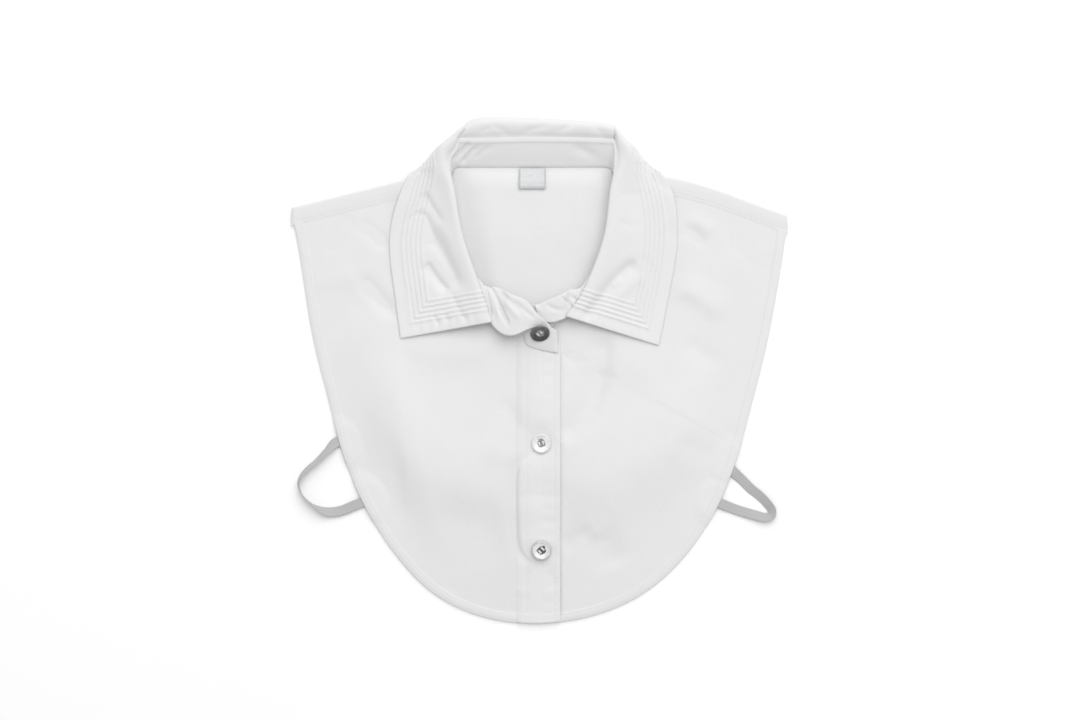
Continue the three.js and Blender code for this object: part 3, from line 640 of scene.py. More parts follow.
def round_ring(first: int, sides: int) -> list[tuple[int, ...]]:
    """The faces between a ring of points, by its first number, and the next ring."""
    turn = [(side, (side + 1) % sides) for side in range(sides)]
    return [(first + a, first + b, first + sides + b, first + sides + a) for a, b in turn]


class Number:
    """A number in a shader tree, which works with Python's operators."""

    def __init__(self, tree: Tree, socket: Any) -> None:
        """Wraps a socket or a plain number."""
        self.tree = tree
        self.socket = socket

    def _math(self, operation: str, *others: Any, swap: bool = False) -> Number:
        """Adds a Math node for an operation on this number and others."""
        terms = [self, *others]
        if swap:
            terms.reverse()
        values = {k: t.socket if isinstance(t, Number) else t for k, t in enumerate(terms)}
        node = self.tree.add("ShaderNodeMath", {"operation": operation}, values)
        return Number(self.tree, node.outputs[0])

    def __add__(self, other: Any) -> Number:
        """Sum."""
        return self._math("ADD", other)

    __radd__ = __add__

    def __mul__(self, other: Any) -> Number:
        """Product."""
        return self._math("MULTIPLY", other)

    __rmul__ = __mul__

    def __sub__(self, other: Any) -> Number:
        """Difference."""
        return self._math("SUBTRACT", other)

    def __rsub__(self, other: Any) -> Number:
        """Difference from the other."""
        return self._math("SUBTRACT", other, swap=True)

    def sine(self) -> Number:
        """Sine."""
        return self._math("SINE")

    def size(self) -> Number:
        """Absolute value."""
        return self._math("ABSOLUTE")

    def above(self, limit: float) -> Number:
        """1 where the number is above the limit."""
        return self._math("GREATER_THAN", limit)


class Tree:
    """The node tree of one material, built from expressions."""

    def __init__(self, name: str) -> None:
        """Starts a material with a Principled shader."""
        self.material = bpy.data.materials.new(name)
        self.material.use_nodes = True
        self.nodes = self.material.node_tree.nodes
        self.links = self.material.node_tree.links
        self.shader = next(n for n in self.nodes if n.type == "BSDF_PRINCIPLED")

    def add(self, kind: str, settings: dict[str, Any], inputs: dict[Any, Any]) -> Any:
        """Adds a node.

        Args:
            kind: The node's type.
            settings: Its properties, set first. "stops" are a colour ramp's stops.
            inputs: Values or sockets by input name or number.

        Returns:
            The node.
        """
        node = self.nodes.new(kind)
        for key, value in settings.items():
            if key == "stops":
                self._ramp(node, value)
            else:
                setattr(node, key, value)
        for key, value in inputs.items():
            self.feed(node.inputs[key], value)
        return node

    def _ramp(self, node: Any, stops: Sequence[tuple[float, tuple[float, ...]]]) -> None:
        """Sets a colour ramp's stops."""
        elements = node.color_ramp.elements
        while len(elements) < len(stops):
            elements.new(0.5)
        for element, (at, colour) in zip(elements, stops):
            element.position = at
            element.color = colour

    def feed(self, socket: Any, value: Any) -> None:
        """Links a socket to another, or sets its value."""
        value = value.socket if isinstance(value, Number) else value
        if isinstance(value, bpy.types.NodeSocket):
            self.links.new(value, socket)
        else:
            socket.default_value = value

    def where(self, output: str) -> Any:
        """A Texture Coordinate output."""
        return self.add("ShaderNodeTexCoord", {}, {}).outputs[output]

    def axes(self, vector: Any) -> list[Number]:
        """The three parts of a vector."""
        node = self.add("ShaderNodeSeparateXYZ", {}, {0: vector})
        return [Number(self, socket) for socket in node.outputs]

    def noise(self, vector: Any, scale: float, detail: float = 2.0) -> Number:
        """A noise pattern, 0 to 1, with a scale in cycles per metre."""
        node = self.add("ShaderNodeTexNoise", {}, {"Vector": vector, "Scale": scale, "Detail": detail})
        return Number(self, node.outputs[0])

    def colours(self, share: Number, low: Sequence[float], high: Sequence[float]) -> Any:
        """A colour between two, by a number."""
        node = self.add("ShaderNodeMix", {"data_type": "RGBA"}, {0: share, 6: (*low, 1.0), 7: (*high, 1.0)})
        return node.outputs[2]

    def relief(self, height: Number, strength: float = 1.0) -> Any:
        """A bumped normal from a height in metres."""
        inputs = {"Strength": strength, "Distance": 1.0, "Height": height}
        return self.add("ShaderNodeBump", {}, inputs).outputs[0]

    def finish(self, **sockets: Any) -> bpy.types.Material:
        """Sets the shader's sockets, named with underscores, and returns the material."""
        for name, value in sockets.items():
            self.feed(self.shader.inputs[name.replace("_", " ")], value)
        return self.material


@dataclass(frozen=True)
class Cotton:
    """Plain woven white cotton: crossing threads, slubs and faint unevenness."""

    name: str = "cotton_poplin"
    light: tuple[float, float, float] = (0.78, 0.78, 0.78)
    shade: tuple[float, float, float] = (0.745, 0.745, 0.75)
    thread: float = 0.00042
    weave_height: float = 0.000022
    slub_scale: float = 900.0
    mottle_scale: float = 70.0
    mottle_height: float = 0.0003
    fine_scale: float = 320.0
    fine_height: float = 0.00006
    roughness: float = 0.86

    def material(self) -> bpy.types.Material:
        """Builds the material."""
        tree = Tree(self.name)
        cloth = tree.where("UV")
        space = tree.where("Object")
        across, along, _ = tree.axes(cloth)
        turn = math.tau / self.thread
        warp, weft = (across * turn).sine(), (along * turn).sine()
        slub = tree.noise(cloth, self.slub_scale)
        weave = (warp * weft) * self.weave_height * (slub + 0.5)
        mottle = tree.noise(space, self.mottle_scale, 3.0)
        fine = tree.noise(space, self.fine_scale)
        height = weave + mottle * self.mottle_height + fine * self.fine_height
        tone = mottle * 0.6 + slub * 0.4
        return tree.finish(
            Base_Color=tree.colours(tone, self.shade, self.light),
            Roughness=self.roughness,
            Sheen_Weight=0.12,
            Specular_IOR_Level=0.25,
            Normal=tree.relief(height),
        )


@dataclass(frozen=True)
class Thread:
    """Twisted sewing thread."""

    name: str = "sewing_thread"
    colour: tuple[float, float, float] = (0.80, 0.80, 0.80)
    dark: tuple[float, float, float] = (0.66, 0.66, 0.67)
    twist: float = 0.0006

    def material(self) -> bpy.types.Material:
        """Builds the material."""
        tree = Tree(self.name)
        x, y, _ = tree.axes(tree.where("Object"))
        twist = ((x + y) * (math.tau / self.twist)).sine() * 0.5 + 0.5
        return tree.finish(
            Base_Color=tree.colours(twist, self.dark, self.colour),
            Roughness=0.6,
            Specular_IOR_Level=0.35,
        )


@dataclass(frozen=True)
class Elastic:
    """Flat elastic: faint lengthwise ribs and crosswise picks under an uneven speckle."""

    name: str = "ribbed_elastic"
    light: tuple[float, float, float] = (0.53, 0.53, 0.535)
    dark: tuple[float, float, float] = (0.37, 0.37, 0.38)
    rib: float = 0.00085
    pick: float = 0.0007
    speckle_scale: float = 1500.0
    relief: float = 0.00008

    def material(self) -> bpy.types.Material:
        """Builds the material."""
        tree = Tree(self.name)
        along, across, _ = tree.axes(tree.where("UV"))
        ribs = (across * (math.tau / self.rib)).sine() * 0.5 + 0.5
        picks = (along * (math.tau / self.pick)).sine() * 0.5 + 0.5
        speckle = tree.noise(tree.where("UV"), self.speckle_scale)
        knit = ribs * 0.22 + picks * 0.28 + speckle * 0.5
        return tree.finish(
            Base_Color=tree.colours(knit, self.dark, self.light),
            Roughness=0.75,
            Sheen_Weight=0.1,
            Normal=tree.relief(knit * self.relief),
        )


@dataclass(frozen=True)
class Satin:
    """The bare woven label: fine satin threads with a soft shine, darker along its two sides and its foot."""

    name: str = "label_satin"
    light: tuple[float, float, float] = (0.74, 0.745, 0.75)
    dark: tuple[float, float, float] = (0.5, 0.51, 0.52)
    thread: float = 0.00028
    width: float = 0.0195
    length: float = 0.0152
    darker_edges: float = 0.1
    darker_foot: float = 0.07

    def material(self) -> bpy.types.Material:
        """Builds the material."""
        tree = Tree(self.name)
        along, across, _ = tree.axes(tree.where("UV"))
        lines = (across * (math.tau / self.thread)).sine() * 0.5 + 0.5
        drift = tree.noise(tree.where("UV"), 420.0)
        # The colour is darker along the label's two sides and its foot.
        side = (across * (2 / self.width) - 1).size().above(1 - self.darker_edges)
        foot = (along * (1 / self.length)).above(1 - self.darker_foot)
        darker_edges = (side + foot) * -0.8
        return tree.finish(
            Base_Color=tree.colours(lines * 0.4 + drift * 0.6 + darker_edges, self.dark, self.light),
            Roughness=0.42,
            Specular_IOR_Level=0.5,
            Normal=tree.relief(lines * 0.00001 + drift * 0.00003),
        )


@dataclass(frozen=True)
class PearlPaintedLight:
    """Clear pearly resin of a shirt button, with light and shade painted into its greys: a rim partly of the
    resin's own grey and partly painted reflection, a painted highlight on the ring and painted shade in the
    well, which drift into each other.
    """

    name: str
    centre: tuple[float, float, float]
    rim: float = 0.55
    ring: float = 0.82
    well: float = 0.34
    spread: float = 0.34
    drift: float = 0.25
    radius: float = 0.0075
    soft: float = 0.08
    rim_from: float = 0.82
    rim_full: float = 0.92

    def material(self) -> bpy.types.Material:
        """Builds the material."""
        tree = Tree(self.name)
        space = tree.where("Object")
        swirl = tree.add(
            "ShaderNodeTexNoise", {}, {"Vector": space, "Scale": 260.0, "Detail": 2.0, "Distortion": 1.4}
        )
        cloud = Number(tree, swirl.outputs[0])
        gone = tree.add("ShaderNodeVectorMath", {"operation": "DISTANCE"}, {0: space, 1: self.centre})
        out = Number(tree, gone.outputs["Value"]) * (1 / self.radius) + (cloud - 0.5) * self.drift
        # Painted light and shade by distance from the middle: painted shade in the well round the holes, a
        # bright painted highlight on the ring, and a rim grey that is partly the resin's own and partly
        # painted reflection.
        painted_greys = ((0.0, self.well), (self.spread, self.well), (self.spread + self.soft, self.ring),
                  (self.rim_from, self.ring), (self.rim_full, self.rim))
        stops = [(at, (grey, grey * 1.005, grey * 1.015, 1.0)) for at, grey in painted_greys]
        ramp = tree.add("ShaderNodeValToRGB", {"stops": stops}, {0: out})
        # Drifting cloudy patches dim the colour: partly the resin's pearly cloud, partly painted reflection.
        cloud_and_painted_reflections = tree.colours(cloud, (0.3, 0.3, 0.31), (1.0, 1.0, 1.0))
        settings = {"data_type": "RGBA", "blend_type": "MULTIPLY"}
        dim = tree.add("ShaderNodeMix", settings, {0: 0.5, 6: ramp.outputs[0], 7: cloud_and_painted_reflections})
        return tree.finish(
            Base_Color=dim.outputs[2],
            Roughness=0.14,
            Coat_Weight=1.0,
            Coat_Roughness=0.04,
            Normal=tree.relief(cloud * 0.00022),
        )


@dataclass(frozen=True)
class PaleFloor:
    """The plain white surface."""

    name: str = "pale_floor"
    colour: tuple[float, float, float] = (0.96, 0.96, 0.96)

    def material(self) -> bpy.types.Material:
        """Builds the material."""
        return Tree(self.name).finish(Base_Color=(*self.colour, 1.0), Roughness=0.95, Specular_IOR_Level=0.0)


@dataclass
class Wardrobe:
    """The finishes, made once."""

    cotton: bpy.types.Material = field(default_factory=lambda: Cotton().material())
    thread: bpy.types.Material = field(default_factory=lambda: Thread().material())
    elastic: bpy.types.Material = field(default_factory=lambda: Elastic().material())
    satin: bpy.types.Material = field(default_factory=lambda: Satin().material())


@dataclass
class Lie:
    """How the layers of the bib lie on the surface, and the lines that they are cut to."""

    chest: float = 372.0
    drop: float = 335.0
    hem_middle: float = -5.0
    shoulder_drop: tuple[float, float] = (24.0, 30.0)
    shoulder_bend: tuple[tuple[float, float], tuple[float, float]] = ((0.26, 0.22), (0.44, 0.25))
    back_inset: float = 2.5
    yoke_drop: float = 13.5
    cloth: float = 1.0
    collar_cloth: float = 1.4
    gap: float = 0.3
    seam_gap: float = 1.1
    seam_tuck: float = 3.0
    neck_width: float = 124.0
    neck_length: float = 136.0
    stand_height: float = 28.0
    leaf_width: float = 52.0
    roll_height: float = 15.5
    front_loft: float = 1.1
    neck_loft: float = 1.5
    button_spread: float = 14.0
    back_lift: float = 3.8
    seam_rise: float = 0.5
    flap_rise_more: float = 0.45
    flap_run: float = 11.0
    flap_cloth: tuple[float, float] = (0.12, 0.8)
    flap_taper: float = 8.0
    fold_gain: float = 1.3
    crest_dip: float = 0.3
    crest_dip_width: float = 36.0
    placket_left: float = -17.0
    placket_width: float = 32.0
    elastic_width: float = 6.75
    elastic_cloth: float = 0.9
    ripple: Ripple = field(default_factory=Ripple)
    pins: list[tuple[float, float, float]] = field(default_factory=list)
    half: float = field(init=False)
    half_neck: float = field(init=False)
    edge: Array = field(init=False)
    left_side: Array = field(init=False)
    right_side: Array = field(init=False)
    rows: dict[str, float] = field(init=False)
    neck_line: Array = field(init=False)
    shoulders: dict[Side, Array] = field(init=False)
    strap_ends: list[tuple[float, float]] = field(init=False)

    def __post_init__(self) -> None:
        """Samples the lines that the heights depend on."""
        self.half = self.chest / 2
        self.half_neck = self.neck_width / 2
        self.edge = self.bib_edge(0.0)
        samples = by_length(self.edge, spaced(240))
        low = int(np.argmin(samples[:, 1]))
        self.left_side = samples[: low + 1][::-1]
        self.right_side = samples[low:]
        self.rows = {row.name: k / (len(COLLAR_ROWS) - 1) for k, row in enumerate(COLLAR_ROWS)}
        self.neck_line = np.array([self.neck_point(row) for row in COLLAR_ROWS])
        self.shoulders = {side: self.shoulder_line(side) for side in Side}
        ends = [LEFT_STRAP[0], LEFT_STRAP[-1], RIGHT_STRAP[0], RIGHT_STRAP[-1]]
        self.strap_ends = [(x * self.half, -y * self.drop) for x, y, _ in ends]

    def bib_edge(self, inset: float) -> Array:
        """The control points of the bib's edge, from the left tip round the hem to the right one."""
        def point(row: BibRow, side: Side) -> tuple[float, float]:
            """One point of the edge."""
            tip = -self.shoulder_drop[0 if side is Side.LEFT else 1]
            out = row.left if side is Side.LEFT else row.right
            aside = inset * float(smooth(row.down, 0, 0.3))
            return side.sign * (out * self.half - aside), mix(tip, -self.drop + inset, row.down)

        left = [point(row, Side.LEFT) for row in BIB_ROWS]
        right = [point(row, Side.RIGHT) for row in reversed(BIB_ROWS)]
        return np.array([*left, (self.hem_middle, -self.drop + inset), *right])

    def edge_across(self, x: Array, y: Array) -> Array:
        """How far out the edge is at a height, on the side of x."""
        left = -np.interp(y, self.left_side[:, 1], self.left_side[:, 0])
        right = np.interp(y, self.right_side[:, 1], self.right_side[:, 0])
        return np.where(x < self.hem_middle, left, right)

    def back_bottom(self, x: Array, y: Array) -> Array:
        """The underside of the back panel."""
        near = smooth(y, -1.5 * self.leaf_width, -0.7 * self.leaf_width)
        out = self.half_neck + 0.66 * self.leaf_width
        within = 1 - smooth(np.abs(x), out, self.half_neck + 1.1 * self.leaf_width)
        return (self.collar_cloth + self.gap) * near * within

    def front_bottom(self, x: Array, y: Array) -> Array:
        """The underside of the front panels, folds included.

        Args:
            x: How far across the points are.
            y: How far up the points are.

        Returns:
            The heights.
        """
        x, y = np.asarray(x, float), np.asarray(y, float)
        across = np.maximum(self.edge_across(x, np.maximum(y, -self.drop + 1)), 1.0)
        out = np.abs(x) / across
        fade = (1 - smooth(out, 0.6, 0.98)) * smooth(y, -self.drop, -0.86 * self.drop)
        shoulder = 1 - smooth(y, -0.2 * self.drop, -0.02 * self.drop)
        spread = np.hypot(x, y + self.neck_length)
        near_neck = 1 - smooth(spread, 0.2 * self.neck_width, 0.8 * self.neck_width)
        height = self.front_loft * fade * shoulder + self.neck_loft * near_neck
        dip = 1 - self.crest_dip * bump(x, self.crest_dip_width)
        height = height + FRONT_CREST.rise(x, y) * dip * fade
        height = height + self.fold_gain * total_rise(FRONT_FOLDS, x, y) * mix(0.3, 1, fade)
        height = height + self.ripple.rise(x, y) * mix(0.4, 1, fade)
        for across, along, lift in self.pins:
            height = height + lift * bump(np.hypot(x - across, y - along), self.button_spread)
        over = np.zeros(np.shape(x))
        near, far = 1.5 * self.elastic_width, 3.5 * self.elastic_width
        for across, along in self.strap_ends:
            over = np.maximum(over, 1 - smooth(np.hypot(x - across, y - along), near, far))
        least = (self.elastic_cloth + self.gap) * over
        return self.back_bottom(x, y) + self.cloth + self.gap + np.maximum(np.maximum(height, 0), least)

    def pin(self, across: float, along: float, height: float) -> None:
        """Makes the fronts' underside pass through a height at a point, with a soft rise round it."""
        now = float(self.front_bottom(np.array([across]), np.array([along]))[0])
        self.pins.append((across, along, height - now))

    def neck_point(self, row: CollarRow) -> Array:
        """A row's point on the neck line, in plan."""
        return np.array([row.neck[0] * self.half_neck, row.neck[1] * self.neck_length])

    def top_point(self, row: CollarRow) -> Array:
        """A row's point on the stand's top edge, in plan."""
        return self.neck_point(row) + np.array(row.top) * self.stand_height

    def neck_edge(self, places: Array | float, reach: float = -1.3) -> Array:
        """The line that the panels are cut to round the neck, a reach outside the stand's foot."""
        places = np.atleast_1d(np.asarray(places, float))
        point = catmull(self.neck_line, places)
        ahead = catmull(self.neck_line, np.minimum(places + 0.01, 1))
        along = ahead - catmull(self.neck_line, np.maximum(places - 0.01, 0))
        under = np.array([COLLAR_ROWS[int(k)].under for k in np.round(places * (len(COLLAR_ROWS) - 1))])
        normal = unit(np.stack([-along[:, 1], along[:, 0]], 1))
        away = unit(mix(normal, np.array([0.0, -1.0]), under[:, None]))
        return point + away * reach

    def shoulder_line(self, side: Side) -> Array:
        """The line where the back folds over to the front, from the tip in."""
        at = self.rows[f"{side.value} shoulder back"]
        corner = self.neck_edge(at, self.collar_cloth / 2 + self.seam_gap)[0] + [0, self.seam_gap]
        which = 0 if side is Side.LEFT else 1
        share = BIB_ROWS[0].left if side is Side.LEFT else BIB_ROWS[0].right
        tip = np.array([side.sign * self.half * share, -self.shoulder_drop[which]])
        out, down = self.shoulder_bend[which]
        bend = np.array([mix(corner[0], tip[0], out), mix(corner[1], tip[1], down)])
        return np.array([tip, bend, corner])

    def shoulder_at(self, x: Array) -> Array:
        """Height of the shoulder line at x, carried on level past its ends."""
        steps = spaced(60)
        left = catmull(self.shoulders[Side.LEFT], steps)
        right = catmull(self.shoulders[Side.RIGHT], steps)[::-1]
        low = np.interp(x, left[:, 0], left[:, 1])
        return np.where(np.asarray(x) < 0, low, np.interp(x, right[:, 0], right[:, 1]))

    def over_shoulder(self, x: Array, y: Array) -> Array:
        """Puts points of the unfolded back into place, turned over past the shoulder line.

        Args:
            x: How far across the points are.
            y: How far up they are with the flaps laid out flat.

        Returns:
            The points in space.
        """
        left = abs(self.shoulders[Side.LEFT][2, 0])
        right = abs(self.shoulders[Side.RIGHT][2, 0])
        corner = np.where(x < 0, left, right)
        line = np.where(np.abs(x) > corner, self.shoulder_at(x), self.stand_height)
        beyond = y - line
        low = self.back_bottom(x, np.minimum(y, line)) + self.cloth / 2
        high = self.front_bottom(x, line - np.abs(beyond)) + self.cloth / 2 + self.flap_rise(beyond)
        radius = (high - low) / 2
        quarter = math.pi / 2 * radius
        angle = np.clip(beyond / radius, -math.pi / 2, math.pi / 2)
        place = line - radius + radius * np.cos(angle)
        place = np.where(beyond < -quarter, line - radius + beyond + quarter, place)
        place = np.where(beyond > quarter, line - radius - (beyond - quarter), place)
        height = low + radius + radius * np.sin(angle)
        return np.stack([x, place, height], -1)

    def flap_rise(self, beyond: Array) -> Array:
        """How far the flap's middle lies above the fronts' middle, at distances past the shoulder line."""
        within = 1 - smooth(beyond, self.yoke_drop - self.flap_run, self.yoke_drop)
        return self.seam_rise + self.flap_rise_more * within

    def flap_thickness(self, from_seam: Array) -> Array:
        """The flap's thickness, which runs out towards its seam."""
        return mix(*self.flap_cloth, smooth(from_seam, 0, self.flap_taper))

    def body_top(self, x: Array, y: Array) -> Array:
        """The highest cloth of the bib at a point."""
        yoke = self.shoulder_at(x) - self.yoke_drop
        over = smooth(np.asarray(y) - yoke, -4, -1)
        return self.front_bottom(x, y) + self.cloth + self.cloth * over

    def hem_distance(self, x: Array, y: Array) -> Array:
        """How far points are from the bib's edge."""
        line = by_length(self.edge, spaced(699))
        flat = np.stack([np.ravel(x), np.ravel(y)], 1)
        batch = 4000
        nearest = [np.sqrt(((flat[k:k + batch, None] - line[None]) ** 2).sum(-1).min(1))
                   for k in range(0, len(flat), batch)]
        return np.concatenate(nearest).reshape(np.shape(x))

    def crossing(self, line: Array, test: Callable[[Array], Array]) -> float:
        """The share of a curve's length at which a test first turns true."""
        steps = spaced(800)
        return float(steps[int(np.argmax(test(by_length(line, steps))))])


@dataclass
class StitchRow:
    """A row of stitches: points along the cloth's face, and the way that face looks."""

    points: Array
    facing: Array


@dataclass
class Sewing:
    """Sewn rows, made by Geometry Nodes: a thread bead at each stitch along a path."""

    wardrobe: Wardrobe
    place: Place
    pitch: float = 0.0026
    length: float = 0.0019
    width: float = 0.00042
    height: float = 0.0003

    def sew(self, name: str, rows: Sequence[StitchRow]) -> bpy.types.Object:
        """Makes one object that holds several rows.

        Args:
            name: The object's name.
            rows: The rows, in millimetres.

        Returns:
            The finished mesh object.
        """
        points, edges, facing = [], [], []
        for row in rows:
            first = sum(len(p) for p in points)
            points.append(self.place.world(row.points))
            facing.append(row.facing)
            edges.extend((first + k, first + k + 1) for k in range(len(row.points) - 1))
        mesh = bpy.data.meshes.new(name)
        mesh.from_pydata(np.concatenate(points).tolist(), edges, [])
        layer = mesh.attributes.new("facing", "FLOAT_VECTOR", "POINT")
        layer.data.foreach_set("vector", np.concatenate(facing).astype(np.float32).ravel())
        path = show(f"{name}_path", mesh)
        modifier = path.modifiers.new("stitches", "NODES")
        modifier.node_group = self.tree(name)
        sizes = {"Pitch": self.pitch, "Length": self.length, "Width": self.width, "Height": self.height}
        for item in modifier.node_group.interface.items_tree:
            if item.in_out == "INPUT" and item.name in sizes:
                modifier[item.identifier] = sizes[item.name]
        made = as_made(path)
        bpy.data.objects.remove(path)
        made.name = name
        return show(name, made)

    def tree(self, name: str) -> bpy.types.NodeTree:
        """The node group: path to curve, resampled at the pitch, a bead turned to lie on the cloth.

        Args:
            name: The stitches' name.

        Returns:
            The node group.
        """
        group = bpy.data.node_groups.new(f"{name}_rows", "GeometryNodeTree")
        face = group.interface
        face.new_socket("Geometry", in_out="INPUT", socket_type="NodeSocketGeometry")
        for label in ("Pitch", "Length", "Width", "Height"):
            face.new_socket(label, in_out="INPUT", socket_type="NodeSocketFloat")
        face.new_socket("Geometry", in_out="OUTPUT", socket_type="NodeSocketGeometry")
        nodes, links = group.nodes, group.links

        def node(kind: str, **settings: Any) -> Any:
            """Adds a node with its settings."""
            made = nodes.new(kind)
            for key, value in settings.items():
                setattr(made, key, value)
            return made

        start, end = node("NodeGroupInput"), node("NodeGroupOutput")
        curve = node("GeometryNodeMeshToCurve")
        even = node("GeometryNodeResampleCurve", mode="LENGTH")
        tangent = node("GeometryNodeInputTangent")
        facing = node("GeometryNodeInputNamedAttribute", data_type="FLOAT_VECTOR")
        facing.inputs["Name"].default_value = "facing"
        bead = node("GeometryNodeMeshUVSphere")
        bead.inputs["Segments"].default_value = 6
        bead.inputs["Rings"].default_value = 4
        bead.inputs["Radius"].default_value = 0.5
        size = node("ShaderNodeCombineXYZ")
        shape = node("GeometryNodeTransform")
        ahead = node("FunctionNodeAlignRotationToVector", axis="X")
        upright = node("FunctionNodeAlignRotationToVector", axis="Z", pivot_axis="X")
        spread = node("GeometryNodeInstanceOnPoints")
        real = node("GeometryNodeRealizeInstances")
        smoothed = node("GeometryNodeSetShadeSmooth")
        dressed = node("GeometryNodeSetMaterial")
        dressed.inputs["Material"].default_value = self.wardrobe.thread
        for a, out, b, into in (
            (start, "Geometry", curve, "Mesh"),
            (curve, "Curve", even, "Curve"),
            (start, "Pitch", even, "Length"),
            (start, "Length", size, "X"),
            (start, "Width", size, "Y"),
            (start, "Height", size, "Z"),
            (bead, "Mesh", shape, "Geometry"),
            (size, 0, shape, "Scale"),
            (tangent, 0, ahead, "Vector"),
            (ahead, 0, upright, "Rotation"),
            (facing, "Attribute", upright, "Vector"),
            (even, "Curve", spread, "Points"),
            (shape, "Geometry", spread, "Instance"),
            (upright, 0, spread, "Rotation"),
            (spread, "Instances", real, "Geometry"),
            (real, "Geometry", smoothed, "Geometry"),
            (smoothed, "Geometry", dressed, "Geometry"),
            (dressed, "Geometry", end, "Geometry"),
        ):
            links.new(a.outputs[out], b.inputs[into])
        return group


@dataclass
class Maker:
    """What every sub-assembly needs: the lie of the cloth, the frame, the finishes and the sewing."""

    lie: Lie
    place: Place
    wardrobe: Wardrobe
    sewing: Sewing

    def add(
        self, piece: bpy.types.Object, slot: str, finish: bpy.types.Material, *nodes: str
    ) -> bpy.types.Object:
        """Dresses a piece, ties it to the frame and reports it.

        Args:
            piece: The object.
            slot: The record's material slot; not used.
            finish: Its material.
            nodes: The solids that it stands for.

        Returns:
            The piece.
        """
        piece.data.materials.clear()
        piece.data.materials.append(finish)
        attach(piece, "root")
        if nodes:
            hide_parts(*nodes)
        LOG.info("%s: %d faces", piece.name, len(piece.data.polygons))
        return piece

    def cloth(self, name: str, sheet: Sheet, node: str) -> bpy.types.Object:
        """Makes a piece of cotton from a sheet and ties it to the frame."""
        return self.add(sheet.mesh(name, self.place), "cotton", self.wardrobe.cotton, node)

    def stitches(self, name: str, rows: Sequence[StitchRow]) -> bpy.types.Object:
        """Sews rows and ties them to the frame."""
        return self.add(self.sewing.sew(name, rows), "cotton", self.wardrobe.thread)

    def over_front(self, path: Array, lift: Callable[[Array, Array], Array]) -> StitchRow:
        """A row of stitches on a height over the bib.

        Args:
            path: Points in plan.
            lift: The height of the cloth's face at points in plan.

        Returns:
            The row, which faces up.
        """
        x, y = path[:, 0], path[:, 1]
        facing = np.tile([0.0, 0.0, 1.0], (len(path), 1))
        return StitchRow(np.stack([x, y, lift(x, y)], 1), facing)


def dense(path: Sequence[Sequence[float]] | Array, step: float = 1.5) -> Array:
    """A line of points, about a step apart."""
    path = np.asarray(path, float)
    gone = travelled(path)
    places = np.linspace(0, gone[-1], max(int(gone[-1] / step), 2) + 1)
    return np.stack([np.interp(places, gone, path[:, k]) for k in range(path.shape[1])], 1)


@dataclass
class BackPanel:
    """The back of the bib, which turns over both shoulders to the front seams."""

    maker: Maker
    columns: int = 260
    body_steps: int = 60
    turn_steps: int = 12
    flap_steps: int = 12
    tip_drop: float = 9.0
    neck_reach: float = -2.2
    turn: float = 2.6

    def build(self) -> bpy.types.Object:
        """Builds and dresses the back.

        Returns:
            The cloth's object.
        """
        lie = self.maker.lie
        edge = lie.bib_edge(lie.back_inset)
        start = lie.crossing(edge, lambda p: p[:, 1] < -lie.shoulder_drop[0] - self.tip_drop)
        finish = 1 - lie.crossing(edge[::-1], lambda p: p[:, 1] < -lie.shoulder_drop[1] - self.tip_drop)
        places = (0, 0.2, 0.4, 0.6, 0.8, 0.95)
        left = by_length(lie.shoulders[Side.LEFT], places) + [0, lie.yoke_drop]
        right = by_length(lie.shoulders[Side.RIGHT], places)[::-1] + [0, lie.yoke_drop]
        names = ("left shoulder", "left shoulder back", "left corner", "left back end", "left back",
                 "back middle", "right back", "right back end", "right corner", "right shoulder back",
                 "right shoulder")
        neck = lie.neck_edge([lie.rows[name] for name in names], self.neck_reach)
        top = catmull(np.concatenate([left, neck, right]), spaced(self.columns))
        foot = by_length(edge, mix(start, finish, spaced(self.columns)))
        rows = np.stack([self.column(a, b) for a, b in zip(foot, top)])
        rows[..., 2] += self.folds(rows)
        middle = (self.columns // 2, self.body_steps // 2)
        sheet = Sheet.facing(UP, middle, rows, lie.flap_thickness(from_last_column(rows)))
        piece = self.maker.cloth("back_cloth", sheet, "back_panel")
        return piece

    def column(self, foot: Array, top: Array) -> Array:
        """One line of the back from its edge up to its top, closely stepped where it turns over.

        Args:
            foot: The line's lower end, in plan.
            top: Its upper end, in plan, with the flap laid out flat.

        Returns:
            The line's points in space.
        """
        lie = self.maker.lie
        rise = top[1] - foot[1]
        crossing = 1.0
        for _ in range(4):
            at = mix(foot, top, crossing)
            crossing = min(crossing - (at[1] - lie.shoulder_at(at[0])) / rise, 1.0)
        turn = self.turn * lie.cloth
        side = Side.LEFT if top[0] < 0 else Side.RIGHT
        over = abs(top[0]) > abs(lie.shoulders[side][2, 0]) - 1 and top[1] - lie.shoulder_at(top[0]) > turn
        middle = crossing if over else 1 - 2 * turn / rise
        first, last = middle - turn / rise, middle + turn / rise
        steps = np.concatenate([
            np.linspace(0, first, self.body_steps, endpoint=False),
            np.linspace(first, last, self.turn_steps, endpoint=False),
            1 - (1 - last) * spaced(self.flap_steps)[::-1] ** 2,
        ])
        line = mix(foot, top, steps[:, None])
        return lie.over_shoulder(line[:, 0], line[:, 1])

    def folds(self, rows: Array) -> Array:
        """The soft folds inside the neck opening, which fade out under the fronts."""
        x, y = rows[..., 0], rows[..., 1]
        half = np.interp(y, *OPENING_HALF)
        inside = 1 - smooth(np.abs(x - OPENING_MIDDLE) / half, 0.6, 1.03)
        inside = inside * smooth(y, -122, -98) * (1 - smooth(y, -5, 5))
        return (total_rise(BACK_FOLDS, x, y) + self.maker.lie.back_lift) * inside


